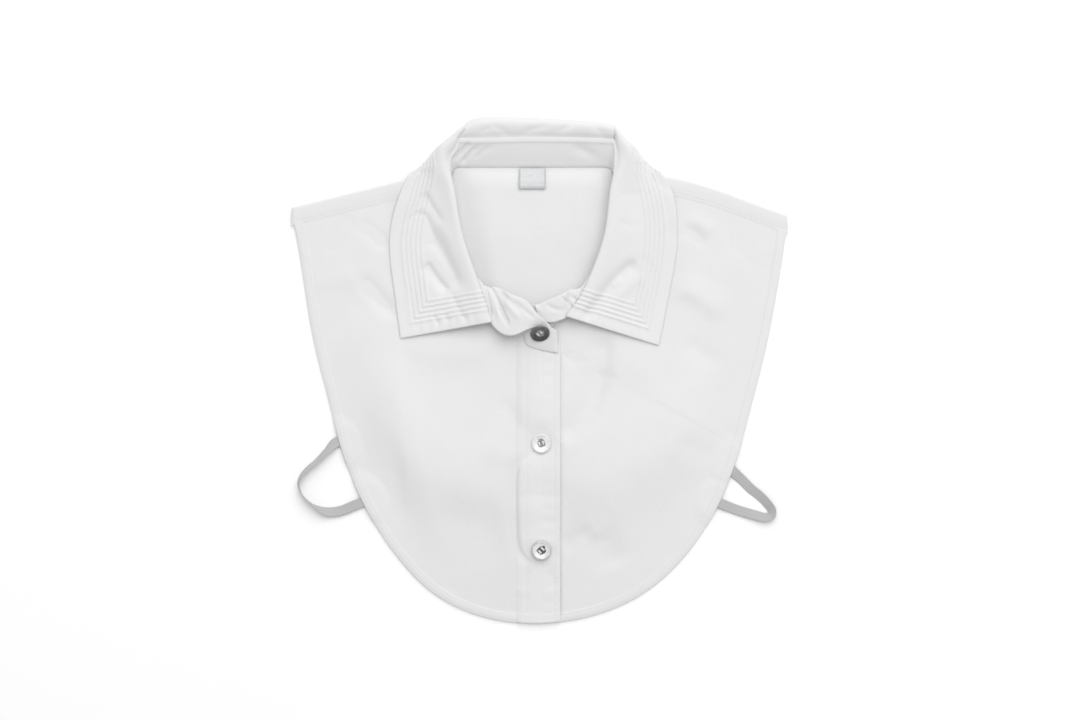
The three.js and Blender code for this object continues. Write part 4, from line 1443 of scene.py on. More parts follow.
@dataclass
class Fronts:
    """The two front panels with their hems, and the rows sewn along them."""

    maker: Maker
    along: int = 320
    inward: int = 96
    thickness: float = 0.8
    hem_width: float = 6.6
    hem_slope: float = 0.8
    hem_stitch: float = 5.7
    hem_rise: float = 0.38
    edge_dip: float = 0.8
    groove: float = 0.9
    groove_off: float = 0.4
    groove_width: float = 1.3
    groove_start: float = 120.0
    neck_share: float = 0.42
    seam_stitches: tuple[float, ...] = (1.6, 3.4)
    hem_steps: tuple[float, ...] = (0, 0.5, 1.4, 2.6, 3.8, 5.0, 5.8, 6.3, 6.8, 7.4, 8.4)

    def build(self) -> list[bpy.types.Object]:
        """Builds both panels, their hem stitches and the shoulder seams' stitches."""
        made = [self.panel(side) for side in Side]
        lie = self.maker.lie
        hem = self.maker.over_front(self.inset_path(self.hem_stitch), self.face)
        made.append(self.maker.stitches("hem_stitches", [hem]))
        seams = []
        for side in Side:
            line = by_length(lie.shoulders[side], np.linspace(0.02, 0.86, 90))
            for inside in self.seam_stitches:
                path = line + [0, -lie.yoke_drop + inside]
                seams.append(self.maker.over_front(path, self.yoke_face))
        made.append(self.maker.stitches("shoulder_stitches", seams))
        return made

    def face(self, x: Array, y: Array) -> Array:
        """The height of the fronts' upper face, hem included."""
        lie = self.maker.lie
        lift = self.hem_relief(lie.hem_distance(x, y))
        return lie.front_bottom(x, y) + lie.cloth / 2 + self.thickness / 2 + lift

    def hem_relief(self, from_hem: Array) -> Array:
        """How much the turned hem adds to the cloth, at distances from the edge."""
        return self.hem_rise * (1 - smooth(from_hem, self.hem_width - self.hem_slope, self.hem_width))

    def yoke_face(self, x: Array, y: Array) -> Array:
        """The height of the upper face of the back's flap on the front."""
        lie = self.maker.lie
        beyond = lie.shoulder_at(x) - y
        cloth = lie.flap_thickness(lie.yoke_drop - beyond)
        return lie.front_bottom(x, y) + lie.cloth / 2 + lie.flap_rise(beyond) + cloth / 2

    def inset_path(self, inset: float) -> Array:
        """The bib's edge moved inwards, below the shoulder seams."""
        lie = self.maker.lie
        line = by_length(lie.edge, spaced(699))
        ahead = np.gradient(line, axis=0)
        normal = unit(np.stack([-ahead[:, 1], ahead[:, 0]], 1))
        path = line + normal * inset
        seam = lie.shoulder_at(path[:, 0]) - lie.yoke_drop - 1
        return dense(path[path[:, 1] < seam], 1.3)

    def seam_at(self, points: Array) -> Array:
        """The height of a front's upper edge, under the back's flap."""
        lie = self.maker.lie
        return lie.shoulder_at(points[:, 0]) - lie.yoke_drop + lie.seam_tuck

    def plan(self, side: Side, inner: float) -> Array:
        """One front panel's grid in plan, from the bib's edge in to the neck and the placket.

        Args:
            side: Which panel.
            inner: How far across it reaches under the placket.

        Returns:
            The grid, down the edge first.
        """
        lie = self.maker.lie
        is_left = side is Side.LEFT
        nearer = np.minimum if is_left else np.maximum
        path = lie.edge if is_left else lie.edge[::-1]
        start = lie.crossing(path, lambda p: p[:, 1] < self.seam_at(p))
        finish = lie.crossing(path, lambda p: p[:, 0] > inner if is_left else p[:, 0] < inner)
        low_share = 0.09 if is_left else 0.97
        rim = lie.neck_edge(mix(lie.rows[f"{side.value} shoulder front"], low_share, spaced(14)))
        rim[0, 1] = min(rim[0, 1], self.seam_at(rim[:1])[0])
        steps = spaced(self.along)
        outer = by_length(path, mix(start, finish, steps))
        on_rim = by_length(rim, np.minimum(steps / self.neck_share, 1))
        down = np.clip((steps - self.neck_share) / (1 - self.neck_share), 0, 1)
        on_placket = np.stack([np.full(len(steps), inner), mix(on_rim[-1, 1], -0.9 * lie.drop, down)], 1)
        inward = np.where((steps < self.neck_share)[:, None], on_rim, on_placket)
        for line in (outer, inward):
            line[:, 0] = nearer(line[:, 0], inner)
        reach = np.linalg.norm(inward - outer, axis=1)
        near = np.array(self.hem_steps)
        last = near[-1] / reach[:, None]
        rest = spaced(self.inward - len(near) + 1)[1:]
        places = np.concatenate([near / reach[:, None], last + (1 - last) * rest], 1)
        grid = mix(outer[:, None], inward[:, None], places[..., None])
        short = self.seam_at(grid[0]) - grid[0, :, 1]
        grid[..., 1] += short * (1 - smooth(steps, 0, 0.12))[:, None]
        return grid

    def panel(self, side: Side) -> bpy.types.Object:
        """Builds one front panel.

        Args:
            side: Which one.

        Returns:
            The cloth's object.
        """
        lie = self.maker.lie
        is_left = side is Side.LEFT
        grid = self.plan(side, lie.placket_left + lie.seam_tuck + (0 if is_left else lie.seam_gap))
        x, y = grid[..., 0], grid[..., 1]
        from_hem = lie.hem_distance(x, y)
        below_seam = self.seam_at(grid[0, :1])[0] - y
        edge_dip = self.edge_dip * (1 - smooth(from_hem, 0.2, 2.6)) * smooth(below_seam, 4, 14)
        beside = x - lie.placket_left - lie.placket_width - self.groove_off
        groove = self.groove * bump(beside, self.groove_width) * smooth(from_hem, 1, 6)
        groove = groove * smooth(-y, self.groove_start, self.groove_start + 15)
        rows = np.stack([x, y, lie.front_bottom(x, y) + lie.cloth / 2 - edge_dip - groove], -1)
        middle = (self.along // 2, self.inward // 2)
        sheet = Sheet.facing(UP, middle, rows, self.thickness, self.hem_relief(from_hem))
        node = f"front_panel_{side.value}"
        piece = self.maker.cloth(f"front_cloth_{side.value}", sheet, node)
        return piece


@dataclass
class Placket:
    """The double strip down the middle front."""

    maker: Maker
    top: float = -124.0
    corner: float = -113.0
    down: int = 250
    across: int = 44
    thickness: float = 1.0
    left_edge: float = 0.15
    left_stitch: float = 8.0
    right_stitch: float = 28.2
    stitch_width: float = 0.9
    left_dent: float = 0.12
    right_dent: float = 0.25
    belly: float = 0.3
    ladder_pitch: float = 10.8
    ladder_height: float = 0.2
    crease_off: float = 18.5
    crease: float = 0.22
    hem_rise: float = 0.28

    def surface(self, x: Array, y: Array) -> Array:
        """The height of the strip's middle surface, with its puckers and its stitched valley."""
        lie = self.maker.lie
        off = x - lie.placket_left
        height = lie.front_bottom(x, y) + lie.cloth - 0.05 + self.cloth_at(x) / 2
        seam = self.right_dent * bump(off - self.right_stitch, self.stitch_width)
        seam = seam + self.left_dent * bump(off - self.left_stitch, self.stitch_width)
        belly = self.belly * np.sin(np.pi * np.clip((off - 3) / (self.right_stitch - 3), 0, 1)) ** 2
        place = bump(off - self.right_stitch + 5, 5.0) * (0.55 + 0.45 * np.sin(y / 23 + 1))
        wave = np.sin(math.tau * (y + 4 * np.sin(y / 19)) / self.ladder_pitch)
        crease = self.crease * bump(off - self.crease_off, 1.0) * (0.6 + 0.4 * np.sin(y / 13))
        return height - seam + belly + self.ladder_height * place * wave - crease

    def cloth_at(self, x: Array) -> Array:
        """The strip's thickness, which runs out to its sewn edge."""
        return mix(self.left_edge, self.thickness, smooth(x - self.maker.lie.placket_left, 0, 4))

    def build(self) -> list[bpy.types.Object]:
        """Builds the strip and its two rows of stitches."""
        lie = self.maker.lie
        x = lie.placket_left + lie.placket_width * spaced(self.across)
        line = by_length(lie.edge, spaced(1399))
        bottom = line[line[:, 1] < -0.9 * lie.drop]
        hem = np.interp(x, bottom[:, 0], bottom[:, 1]) + 0.4
        drops = spaced(self.down)
        plan_x = np.broadcast_to(x, (len(drops), len(x)))
        top = mix(self.corner, self.top, smooth(x, lie.placket_left, -6))
        plan_y = mix(top[None], hem[None], drops[:, None])
        rows = np.stack([plan_x, plan_y, self.surface(plan_x, plan_y)], -1)
        relief = self.hem_rise * (1 - smooth(plan_y - hem[None], 6.0, 6.8))
        cloth = np.broadcast_to(self.cloth_at(x), plan_y.shape)
        sheet = Sheet.facing(UP, (10, 10), rows, cloth, relief)
        piece = self.maker.cloth("placket_cloth", sheet, "button_placket")
        paths = []
        for off in (self.left_stitch, self.right_stitch):
            at = lie.placket_left + off
            foot = float(np.interp(at, x, hem)) + 1.0
            paths.append(self.maker.over_front(dense([(at, self.top - 1.5), (at, foot)], 1.3), self.face))
        return [piece, self.maker.stitches("placket_stitches", paths)]

    def face(self, x: Array, y: Array) -> Array:
        """The height of the strip's upper face."""
        return self.surface(x, y) + self.cloth_at(x) / 2


@dataclass
class Collar:
    """The stand and the fold-over leaf."""

    maker: Maker
    stand_along: int = 660
    stand_rise: int = 48
    leaf_along: int = 560
    placket_cloth: float = 1.3
    thickness: float = 1.2
    foot_cloth: float = 0.5
    foot_lift: float = 0.12
    front_lift: float = 0.9
    clearance: float = 0.1
    crease_gain: float = 2.1
    wrinkle_gain: float = 1.45
    leaf_length: float = 560.0
    leaf_reach: float = 56.0
    marks: tuple[float, ...] = (0.0, 0.5, 1.2, 3.0, 5.5, 7.5)
    row_start: float = 9.4
    row_step: float = 3.55
    row_count: int = 5
    ridge: float = 0.66
    ridge_width: float = 0.85
    floor_lift: float = 0.4

    def neck_height(self, row: CollarRow) -> float:
        """The height at which a row of the stand starts."""
        lie = self.maker.lie
        x, y = lie.neck_point(row)
        if y > 0:
            return float(lie.back_bottom(x, y)) + lie.cloth + self.foot_lift
        order = COLLAR_ROWS.index(row) / (len(COLLAR_ROWS) - 1)
        lifted = lie.cloth + (self.placket_cloth + self.clearance if order < 0.5 else lie.gap)
        return float(lie.front_bottom(x, y)) + lie.cloth / 2 + (self.front_lift if row.edge else lifted)

    def crest_height(self, row: CollarRow) -> float:
        """The height of the roll at a row."""
        return row.crest * self.maker.lie.roll_height

    def top_height(self, row: CollarRow) -> float:
        """The height of the stand's top edge under the leaf."""
        return self.crest_height(row) - 2 * self.maker.lie.collar_cloth

    def stand_lines(self) -> Array:
        """The stand's three lines: neck, middle and top edge."""
        lie = self.maker.lie
        lines = [[], [], []]
        for row in COLLAR_ROWS:
            neck, top = lie.neck_point(row), lie.top_point(row)
            fold = neck + np.array(row.fold) * lie.stand_height if row.fold else (neck + top) / 2
            low, high = self.neck_height(row), self.top_height(row)
            share = 0.8 if row.fold else 0.55
            middle = mix(low, high, share) if row.edge or row.level else self.crest_height(row)
            last = high if row.edge else self.crest_height(row) - lie.collar_cloth
            lines[0].append((*neck, low))
            lines[1].append((*fold, middle))
            lines[2].append((*top, last))
        return np.array(lines)

    def stand_points(self, along: Array, rise: Array) -> Array:
        """Points of the stand's middle surface.

        Args:
            along: Shares from the left tip to the right end.
            rise: Shares from the neck up.

        Returns:
            A grid of points, along first.
        """
        lines = np.stack([catmull(line, along) for line in self.stand_lines()])
        return catmull(lines, rise).swapaxes(0, 1)

    def soften(self, rows: Array, along: Array) -> Array:
        """Evens out the stand's front ends, where its lines turn quickly, and leaves its back crisp."""
        lie = self.maker.lie
        front = smooth(along, lie.rows["right low"], lie.rows["right front end"])
        front = front + 1 - smooth(along, lie.rows["left front end"], lie.rows["left low"])
        even = rows
        for _ in range(30):
            padded = run_on(even)
            even = mix(even, (padded[:-2] + padded[2:]) / 2, 0.5)
        return mix(rows, even, front[:, None, None])

    def stand(self) -> list[bpy.types.Object]:
        """Builds the stand and its stitches."""
        along, rise = spaced(self.stand_along), spaced(self.stand_rise)
        rows = self.soften(self.stand_points(along, rise), along)
        x, y = rows[..., 0], rows[..., 1]
        at_back = smooth(y, -4, 6)
        relief = self.crease_gain * total_rise(STAND_FOLDS, x, y)
        relief = relief + (0.45 * bump(rise - 0.9, 0.06) + 0.15 * bump(rise - 0.05, 0.06)) * at_back
        cloth = np.broadcast_to(mix(self.foot_cloth, self.thickness, smooth(rise, 0, 0.12)), x.shape)
        middle = (int(self.stand_along * self.maker.lie.rows["back middle"]), self.stand_rise // 2)
        sheet = Sheet.facing((0, -1, 0), middle, rows, cloth, relief)
        piece = self.maker.cloth("stand_cloth", sheet, "collar_stand")
        ends = np.linspace(1.5, self.stand_along - 1.5, 340)
        spots = [sheet.spot(ends, np.full(len(ends), share * self.stand_rise)) for share in (0.86, 0.12)]
        return [piece, self.maker.stitches("stand_stitches", [StitchRow(*spot) for spot in spots])]

    def section(self, row: CollarRow) -> Array:
        """The leaf's cross-section at a row, from the stand's top over the roll to the outer edge.

        Args:
            row: The row of the collar.

        Returns:
            The control points in space.
        """
        lie = self.maker.lie
        seam, neck = lie.top_point(row), lie.neck_point(row)
        turn = seam + np.array(row.turn) * lie.leaf_width
        edge = seam + np.array(row.edge) * lie.leaf_width
        rise = self.top_height(row) - self.neck_height(row)
        out = float(np.linalg.norm(seam - neck))
        lean = out / math.hypot(out, rise)
        start = self.top_height(row) + lie.collar_cloth / 2 * (1 + lean) + lie.gap
        crest = max(self.crest_height(row), start + 0.4)
        floor = lie.collar_cloth / 2
        rest = float(lie.body_top(edge[0], edge[1])) + floor + self.clearance

        def at(a: Array, b: Array, share: float, z: float) -> tuple[float, float, float]:
            """A point between two in plan, at a height."""
            return (*mix(a, b, share), z)

        over = np.array([
            at(seam, edge, 0, start),
            at(seam, edge, -0.012, start + 0.5 * (crest - start)),
            at(seam, edge, 0.05, crest),
            at(seam, edge, 0.3, mix(crest, rest, 0.44)),
            at(seam, edge, 0.55, mix(crest, rest, 0.77)),
            at(seam, edge, 0.8, mix(crest, rest, 0.95)),
            at(seam, edge, 1, rest),
        ])
        tucked = self.top_height(row) - lie.collar_cloth
        beneath = np.array([
            at(seam, turn, -0.07, tucked),
            at(seam, turn, 0.12, tucked + 0.9),
            at(seam, turn, 0.36, mix(tucked, crest, 0.75)),
            at(seam, turn, 0.78, crest),
            at(seam, turn, 1, 0.55 * crest),
            at(turn, edge, 0.14, floor + 0.6),
            at(turn, edge, 1, floor),
        ])
        return mix(over, beneath, row.under)

    def leaf_grid(self) -> tuple[Array, Array]:
        """The leaf's grid of points, closely stepped along its sewn rows and its front edges."""
        lie = self.maker.lie
        sections = np.stack([self.section(row) for row in COLLAR_ROWS if row.edge], 1)
        sewn = self.row_start + self.row_step * np.arange(self.row_count)
        close = np.concatenate([at + np.array((-1.1, -0.55, 0, 0.55, 1.1)) for at in sewn])
        marks = np.array(sorted({*self.marks, *close.tolist()}))
        last = marks[-1]
        middle = np.linspace(last + 1, self.leaf_length - last - 1, self.leaf_along - 2 * len(marks))
        along = np.concatenate([marks, middle, self.leaf_length - marks[::-1]]) / self.leaf_length
        inside = np.linspace(0, self.leaf_reach - last, 34)[:-1]
        out = np.concatenate([inside, self.leaf_reach - marks[::-1]]) / self.leaf_reach
        fine = spaced(1200)
        gone = travelled(catmull(sections[-1], fine))
        places = np.interp(along * gone[-1], gone, fine)
        across = catmull(np.stack([catmull(line, places) for line in sections]), spaced(120))
        rows = np.empty((len(along), len(out), 3))
        for k in range(len(along)):
            run = travelled(across[:, k])
            for axis in range(3):
                rows[k, :, axis] = np.interp(out * run[-1], run, across[:, k, axis])
        x, y, z = rows[..., 0], rows[..., 1], rows[..., 2]
        z = z + self.wrinkles(x, y, z)
        clear = lie.collar_cloth / 2
        floor = clear + self.floor_lift
        behind = (y > lie.shoulder_at(x) + 2 * lie.collar_cloth) | (np.abs(x) < lie.half_neck)
        above = z > lie.back_bottom(x, y) + lie.cloth
        front = np.where(above, np.maximum(z, lie.body_top(x, y) + clear), floor)
        rows[..., 2] = np.where(behind, np.maximum(z, floor), front)
        return rows, sewn

    def wrinkles(self, x: Array, y: Array, z: Array) -> Array:
        """The leaf's folds at points of its middle surface, on its upper layer alone."""
        on_front = (1 - smooth(y, -5, 14)) * smooth(z, 3, 6)
        at_back = smooth(y, 8, 22) * smooth(z, 6, 9)
        total = total_rise(LEAF_FOLDS, x, y) * on_front + total_rise(ROLL_FOLDS, x, y) * at_back
        return self.wrinkle_gain * total

    def leaf(self) -> list[bpy.types.Object]:
        """Builds the leaf, its concentric rows of stitches and its edge."""
        rows, sewn = self.leaf_grid()
        insets = (from_last_column(rows), travelled(rows), travelled(rows[::-1])[::-1])
        inset = np.minimum(insets[0], np.minimum(*insets[1:]))
        x, y, z = rows[..., 0], rows[..., 1], rows[..., 2]
        relief = sum(self.ridge * bump(inset - at, self.ridge_width) for at in sewn)
        relief = relief + 0.25 * bump(inset - 2.2, 2.4)
        ripple = np.sin(math.tau * x / 7.5 + 1.3 * np.sin(x / 11)) * bump(inset - 5, 4.5)
        relief = relief + 0.28 * ripple * smooth(-y, 90, 112)
        relief = relief * mix(0.12, 1, smooth(z, 1.2, 4))
        spot = (len(rows) // 8, rows.shape[1] // 2)
        sheet = Sheet.facing(UP, spot, rows, self.thickness, relief)
        piece = self.maker.cloth("leaf_cloth", sheet, "collar_leaf")
        return [piece, self.maker.stitches("leaf_stitches", self.leaf_rows(sheet, insets, sewn))]

    def leaf_rows(self, sheet: Sheet, insets: tuple[Array, ...], sewn: Array) -> list[StitchRow]:
        """The concentric rows: up the left front edge, round the outer edge, and up the right one.

        Args:
            sheet: The leaf.
            insets: Distances of its grid points from the outer, the left front and the right front edge.
            sewn: The rows' distances from the edges.

        Returns:
            The rows of stitches.
        """
        edge, left, right = insets
        count, width = edge.shape
        columns = np.arange(count)
        rows = []
        for at in sewn:
            outer = np.array([np.interp(-at, -edge[k], np.arange(width)) for k in columns])
            lane = outer.astype(int)
            keep = (left[columns, lane] > at) & (right[columns, lane] > at)
            lanes = np.arange(int(0.16 * width), int(outer[keep].mean()))
            from_left = np.array([np.interp(at, left[:, j], columns) for j in lanes])
            from_right = np.array([np.interp(-at, -right[:, j], columns) for j in lanes])
            spots = np.concatenate([
                np.stack([from_left, lanes], 1),
                np.stack([columns[keep], outer[keep]], 1),
                np.stack([from_right, lanes], 1)[::-1],
            ])
            rows.append(StitchRow(*sheet.spot(spots[:, 0], spots[:, 1])))
        return rows


@dataclass
class Label:
    """The bare woven label that hangs from the neck seam inside the back."""

    maker: Maker
    width: float = 19.5
    length: float = 15.2
    across: float = -5.5
    thickness: float = 0.45
    clearance: float = 0.5

    def build(self) -> list[bpy.types.Object]:
        """Builds the label."""
        lie = self.maker.lie
        high = 0.051 * lie.neck_length - lie.collar_cloth
        steps = spaced(20)
        x, y = np.meshgrid(self.across + self.width * (steps - 0.5), high - self.length * steps)
        curl = 0.5 * (np.abs(x - self.across) / (self.width / 2)) ** 4 + 0.45 * steps[:, None] ** 3
        z = lie.back_bottom(x, y) + lie.cloth + lie.gap + self.clearance + curl
        rows = np.stack([x, y, z + lie.back_lift * smooth(-y, -5, 5)], -1)
        sheet = Sheet.facing(UP, (5, 5), rows, self.thickness)
        piece = self.maker.add(sheet.mesh("label_cloth", self.maker.place), "label_satin",
                               self.maker.wardrobe.satin, "neck_label")
        return [piece]


@dataclass
class Buttons:
    """Four-hole shirt buttons with their thread."""

    maker: Maker
    collar: Collar
    placket: Placket
    diameter: float = 15.0
    thickness: float = 2.6
    hole: float = 1.7
    hole_circle: float = 4.2
    across: float = 1.2
    first_drop: float = 120.0
    pitch: float = 80.0
    shank: float = 0.7
    turns: int = 72
    hole_sides: int = 20
    strand: float = 0.26
    strand_gap: float = 0.42
    strand_sides: int = 8
    strand_steps: int = 14
    top_share: float = 0.4
    top_rise: float = 0.25
    top_aside: float = -1.3
    # The greys of the two lower buttons hold painted light: the middle one is painted bright, the bottom one
    # has a darker painted well and rim. They are lit and shaded copies of one button.
    lower: tuple[tuple[str, tuple[float, ...]], ...] = (
        ("button_middle", (0.85, 0.95, 0.3, 0.36, 0.5)),
        ("button_bottom", (0.55, 0.88, 0.08, 0.4, 0.6)),
    )
    # The top button's greys are painted shade: it lies tilted in the shade under the stand, so it is painted
    # near black with a grey well.
    top: tuple[float, ...] = (0.12, 0.03, 0.3, 0.36, 0.6)
    tilt: float = 0.7

    def pin(self) -> None:
        """Brings the cloth up to the undersides of the two lower buttons."""
        lie = self.maker.lie
        for k, (name, _) in enumerate(self.lower):
            y = -self.first_drop - (k + 1) * self.pitch
            above = float(self.placket.face(np.array([self.across]), np.array([y]))[0])
            above -= float(lie.front_bottom(np.array([self.across]), np.array([y]))[0])
            lie.pin(self.across, y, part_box(name)[0].z * 1000 - 0.2 - above)

    def profile(self) -> Array:
        """The button's half section, from the middle of its back to the middle of its front."""
        shares = np.array([
            (0, 0.02), (0.55, 0.0), (0.8, 0.05), (0.94, 0.2), (1.0, 0.42), (0.995, 0.62), (0.965, 0.82),
            (0.91, 0.95), (0.85, 0.99), (0.79, 0.93), (0.73, 0.82), (0.66, 0.72), (0.6, 0.7), (0.54, 0.66),
            (0.45, 0.56), (0.3, 0.5), (0.15, 0.48), (0, 0.48),
        ])
        return shares * [self.diameter / 2, self.thickness]

    def disc(self, name: str) -> bpy.types.Object:
        """Turns the profile and bores the four holes.

        Args:
            name: The object's name.

        Returns:
            The button, its back on the ground and its axis upright.
        """
        profile = self.profile()
        rings = self.rings(profile[1:-1, 0], self.turns, profile[1:-1, 1])
        points = np.concatenate([[(0, 0, profile[0, 1]), (0, 0, profile[-1, 1])], rings.reshape(-1, 3)])
        first = 2
        last = first + (len(rings) - 1) * self.turns
        faces: list[tuple[int, ...]] = []
        for k in range(self.turns):
            after = (k + 1) % self.turns
            faces.append((0, first + after, first + k))
            faces.append((1, last + k, last + after))
            for a in range(first, last, self.turns):
                faces.append((a + k, a + after, a + self.turns + after, a + self.turns + k))
        disc = make_mesh(name, points / 1000, faces)
        drill = self.drill()
        cut = disc.modifiers.new("holes", "BOOLEAN")
        cut.object = drill
        cut.operation = "DIFFERENCE"
        cut.solver = "EXACT"
        disc.data = as_made(disc)
        bpy.data.objects.remove(drill)
        disc.data.name = name
        shade_smooth(disc.data)
        return disc

    def rings(self, radii: Array, sides: int, heights: Array) -> Array:
        """Level rings of points round the Z axis."""
        turn = math.tau * np.arange(sides) / sides
        across, along = radii[:, None] * np.cos(turn), radii[:, None] * np.sin(turn)
        return np.stack([across, along, np.broadcast_to(heights[:, None], across.shape)], -1)

    def drill(self) -> bpy.types.Object:
        """Four round bars that cut the holes."""
        bar = self.rings(np.full(2, self.hole / 2), self.hole_sides, np.array((-1, 2)) * self.thickness)
        out = self.hole_circle / 2
        turns = math.pi / 4 + np.arange(4) * math.pi / 2
        points, faces = tubes([bar + [out * math.cos(a), out * math.sin(a), 0] for a in turns])
        return make_mesh("drill", points / 1000, faces)

    def thread(self, name: str) -> bpy.types.Object:
        """Two bars of sewing thread through the holes, each of three strands."""
        half = self.hole_circle / 2 * math.cos(math.pi / 4)
        turn = math.pi * spaced(self.strand_steps)[:, None]
        side = math.tau * np.arange(self.strand_sides) / self.strand_sides
        out, rise = self.strand * np.cos(side), self.strand * np.sin(side)
        y = -1.02 * half * np.cos(turn) - 0.8 * np.cos(turn) * rise
        z = 0.5 * self.thickness - 0.9 + 1.25 * np.abs(np.sin(turn)) ** 0.6 + rise
        places = [x + gap * self.strand_gap for x in (-half, half) for gap in (-1, 0, 1)]
        lines = [np.stack([np.broadcast_to(x + out, y.shape), y, z], -1) for x in places]
        points, faces = tubes(lines)
        return make_mesh(name, points / 1000, faces)

    def seat(
        self, name: str, point: Array, facing: Vector, spin: float, painted_greys: tuple[float, ...]
    ) -> list[bpy.types.Object]:
        """Puts a button and its thread in place.

        Args:
            name: The CAD node that it stands for.
            point: The middle of its back, in millimetres.
            facing: The way that it faces.
            spin: How far it is turned round itself, in radians.
            painted_greys: The greys of its rim, ring and well, with light and shade painted in, the well's
                share of its radius, and the drift.

        Returns:
            The button and its thread.
        """
        turn = facing.to_track_quat("Z", "Y").to_matrix().to_4x4()
        middle = Vector(self.maker.place.world(point))
        matrix = Matrix.Translation(middle) @ turn @ Matrix.Rotation(spin, 4, "Z")
        face = middle + facing * (0.6 * self.thickness / 1000)
        resin = PearlPaintedLight(f"{name}_resin", tuple(face), *painted_greys).material()
        disc, thread = self.disc(f"{name}_disc"), self.thread(f"{name}_thread")
        for piece in (disc, thread):
            piece.data.transform(matrix)
            piece.data.update()
        self.maker.add(disc, "button_resin", resin, name)
        self.maker.add(thread, "cotton", self.maker.wardrobe.thread)
        return [disc, thread]

    def build(self) -> list[bpy.types.Object]:
        """Builds the three buttons."""
        made = []
        for k, (name, painted_greys) in enumerate(self.lower):
            y = -self.first_drop - (k + 1) * self.pitch
            point = np.array([self.across, y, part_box(name)[0].z * 1000])
            made.extend(self.seat(name, point, Vector((0.0, 0.0, 1.0)), 0.3 + 0.5 * k, painted_greys))
        rows = self.maker.lie.rows
        share = mix(rows["left button"], rows["left roll"], self.top_share)
        point = self.collar.stand_points(np.array([share]), np.array([self.top_rise]))[0, 0]
        facing = Vector((0.1, -math.sin(self.tilt), math.cos(self.tilt))).normalized()
        point = point + np.array(facing) * (self.maker.lie.collar_cloth / 2 + self.shank)
        made.extend(self.seat("button_top", point + [self.top_aside, 0, 0], facing, 0.5, self.top))
        return made


@dataclass
class Straps:
    """The two flat elastic loops under the arms."""

    maker: Maker
    across: int = 16
    ribs: int = 6
    rib_rise: float = 0.01

    def build(self) -> list[bpy.types.Object]:
        """Builds both loops."""
        return [self.strap(Side.LEFT, LEFT_STRAP), self.strap(Side.RIGHT, RIGHT_STRAP)]

    def strap(self, side: Side, rows: Sequence[tuple[float, float, float]]) -> bpy.types.Object:
        """Builds one loop.

        Args:
            side: Its side.
            rows: Its middle line and roll.

        Returns:
            The elastic's object.
        """
        lie = self.maker.lie
        width, cloth = lie.elastic_width, lie.elastic_cloth
        low = lie.cloth + lie.gap + cloth / 2
        points = []
        last = len(rows) - 1
        for k, (x, y, roll) in enumerate(rows):
            turn = math.radians(roll)
            lying = cloth / 2 * abs(math.cos(turn)) + width / 2 * abs(math.sin(turn))
            height = low if k in (0, last) else max(low, lying) if k in (1, last - 1) else lying + 0.02
            points.append((x * lie.half, -y * lie.drop, height))
        steps = spaced(12 * last)
        centre = catmull(np.array(points), steps)
        rolls = np.radians(catmull(np.array([(r[2], k, 0) for k, r in enumerate(rows)]), steps)[:, 0])
        tangent = unit(np.gradient(centre, axis=0))
        level = unit(np.stack([-tangent[:, 1], tangent[:, 0], np.zeros(len(tangent))], 1))
        spread = level * np.cos(rolls)[:, None] + np.array(UP) * np.sin(rolls)[:, None]
        across = spaced(self.across)
        grid = centre[:, None] + spread[:, None] * (width * (across - 0.5))[None, :, None]
        lowest = grid[..., 2].min(axis=1) - cloth / 2
        grid[..., 2] -= np.minimum(lowest, 0)[:, None]
        relief = np.broadcast_to(self.rib_rise * np.cos(math.tau * self.ribs * across), grid.shape[:2])
        sheet = Sheet(grid, cloth * 0.8, relief, rounding=0.5)
        node = f"strap_{side.value}"
        return self.maker.add(sheet.mesh(f"{node}_elastic", self.maker.place), "elastic",
                              self.maker.wardrobe.elastic, node)


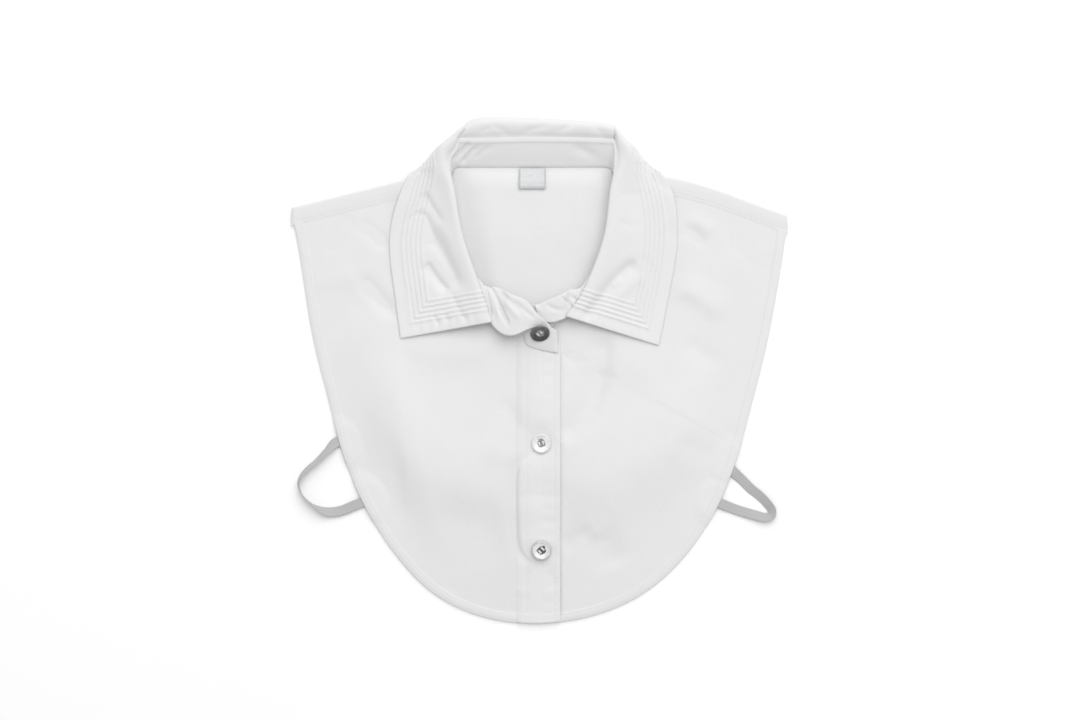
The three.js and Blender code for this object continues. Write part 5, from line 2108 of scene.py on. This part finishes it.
@dataclass
class Studio:
    """The floor, the camera straight above and the soft light."""

    floor_half: float = 3.0
    centre: tuple[float, float] = (0.0004, 0.0075)
    frame_width: float = 0.810
    lens: float = 100.0
    sensor: float = 36.0
    lamp_place: tuple[float, float, float] = (0.6, 1.95, 2.8)
    lamp_size: float = 3.6
    lamp_power: float = 84.0
    sky: float = 0.66

    def build(self) -> None:
        """Builds the floor, camera and lights."""
        self.floor()
        self.camera()
        self.lights()

    def floor(self) -> None:
        """A wide pale floor."""
        corners = np.array([(-1, -1, 0), (1, -1, 0), (1, 1, 0), (-1, 1, 0)], float)
        floor = make_mesh("floor", corners * self.floor_half, [(0, 1, 2, 3)])
        floor.data.materials.append(PaleFloor().material())

    def camera(self) -> None:
        """A long lens straight above the middle of the picture."""
        data = bpy.data.cameras.new("camera")
        data.lens = self.lens
        data.sensor_width = self.sensor
        camera = show("camera", data)
        camera.location = (*self.centre, self.frame_width * self.lens / self.sensor)
        bpy.context.scene.camera = camera

    def lights(self) -> None:
        """A large soft lamp beyond the collar, a little to the right, and an even sky."""
        lamp = bpy.data.lights.new("lamp", "AREA")
        lamp.shape = "SQUARE"
        lamp.size = self.lamp_size
        lamp.energy = self.lamp_power
        stand = show("lamp", lamp)
        stand.location = self.lamp_place
        stand.rotation_mode = "QUATERNION"
        stand.rotation_quaternion = (-Vector(self.lamp_place)).to_track_quat("-Z", "Y")
        world = bpy.data.worlds.new("studio")
        world.use_nodes = True
        background = world.node_tree.nodes["Background"]
        background.inputs["Color"].default_value = (1.0, 1.0, 1.0, 1.0)
        background.inputs["Strength"].default_value = self.sky
        bpy.context.scene.world = world
        bpy.context.scene.view_settings.view_transform = "Standard"


def main() -> None:
    """Builds the dickey around the frame and reports each piece."""
    logging.basicConfig(level=logging.INFO, format="%(name)s %(message)s")
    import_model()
    place = Place.from_frame("button_bottom", Buttons.across, -Buttons.first_drop - 2 * Buttons.pitch)
    wardrobe = Wardrobe()
    maker = Maker(Lie(), place, wardrobe, Sewing(wardrobe, place))
    Studio().build()
    placket, collar = Placket(maker), Collar(maker)
    buttons = Buttons(maker, collar, placket)
    buttons.pin()
    BackPanel(maker).build()
    Fronts(maker).build()
    placket.build()
    collar.stand()
    collar.leaf()
    Label(maker).build()
    buttons.build()
    Straps(maker).build()


if __name__ == "__main__":
    main()
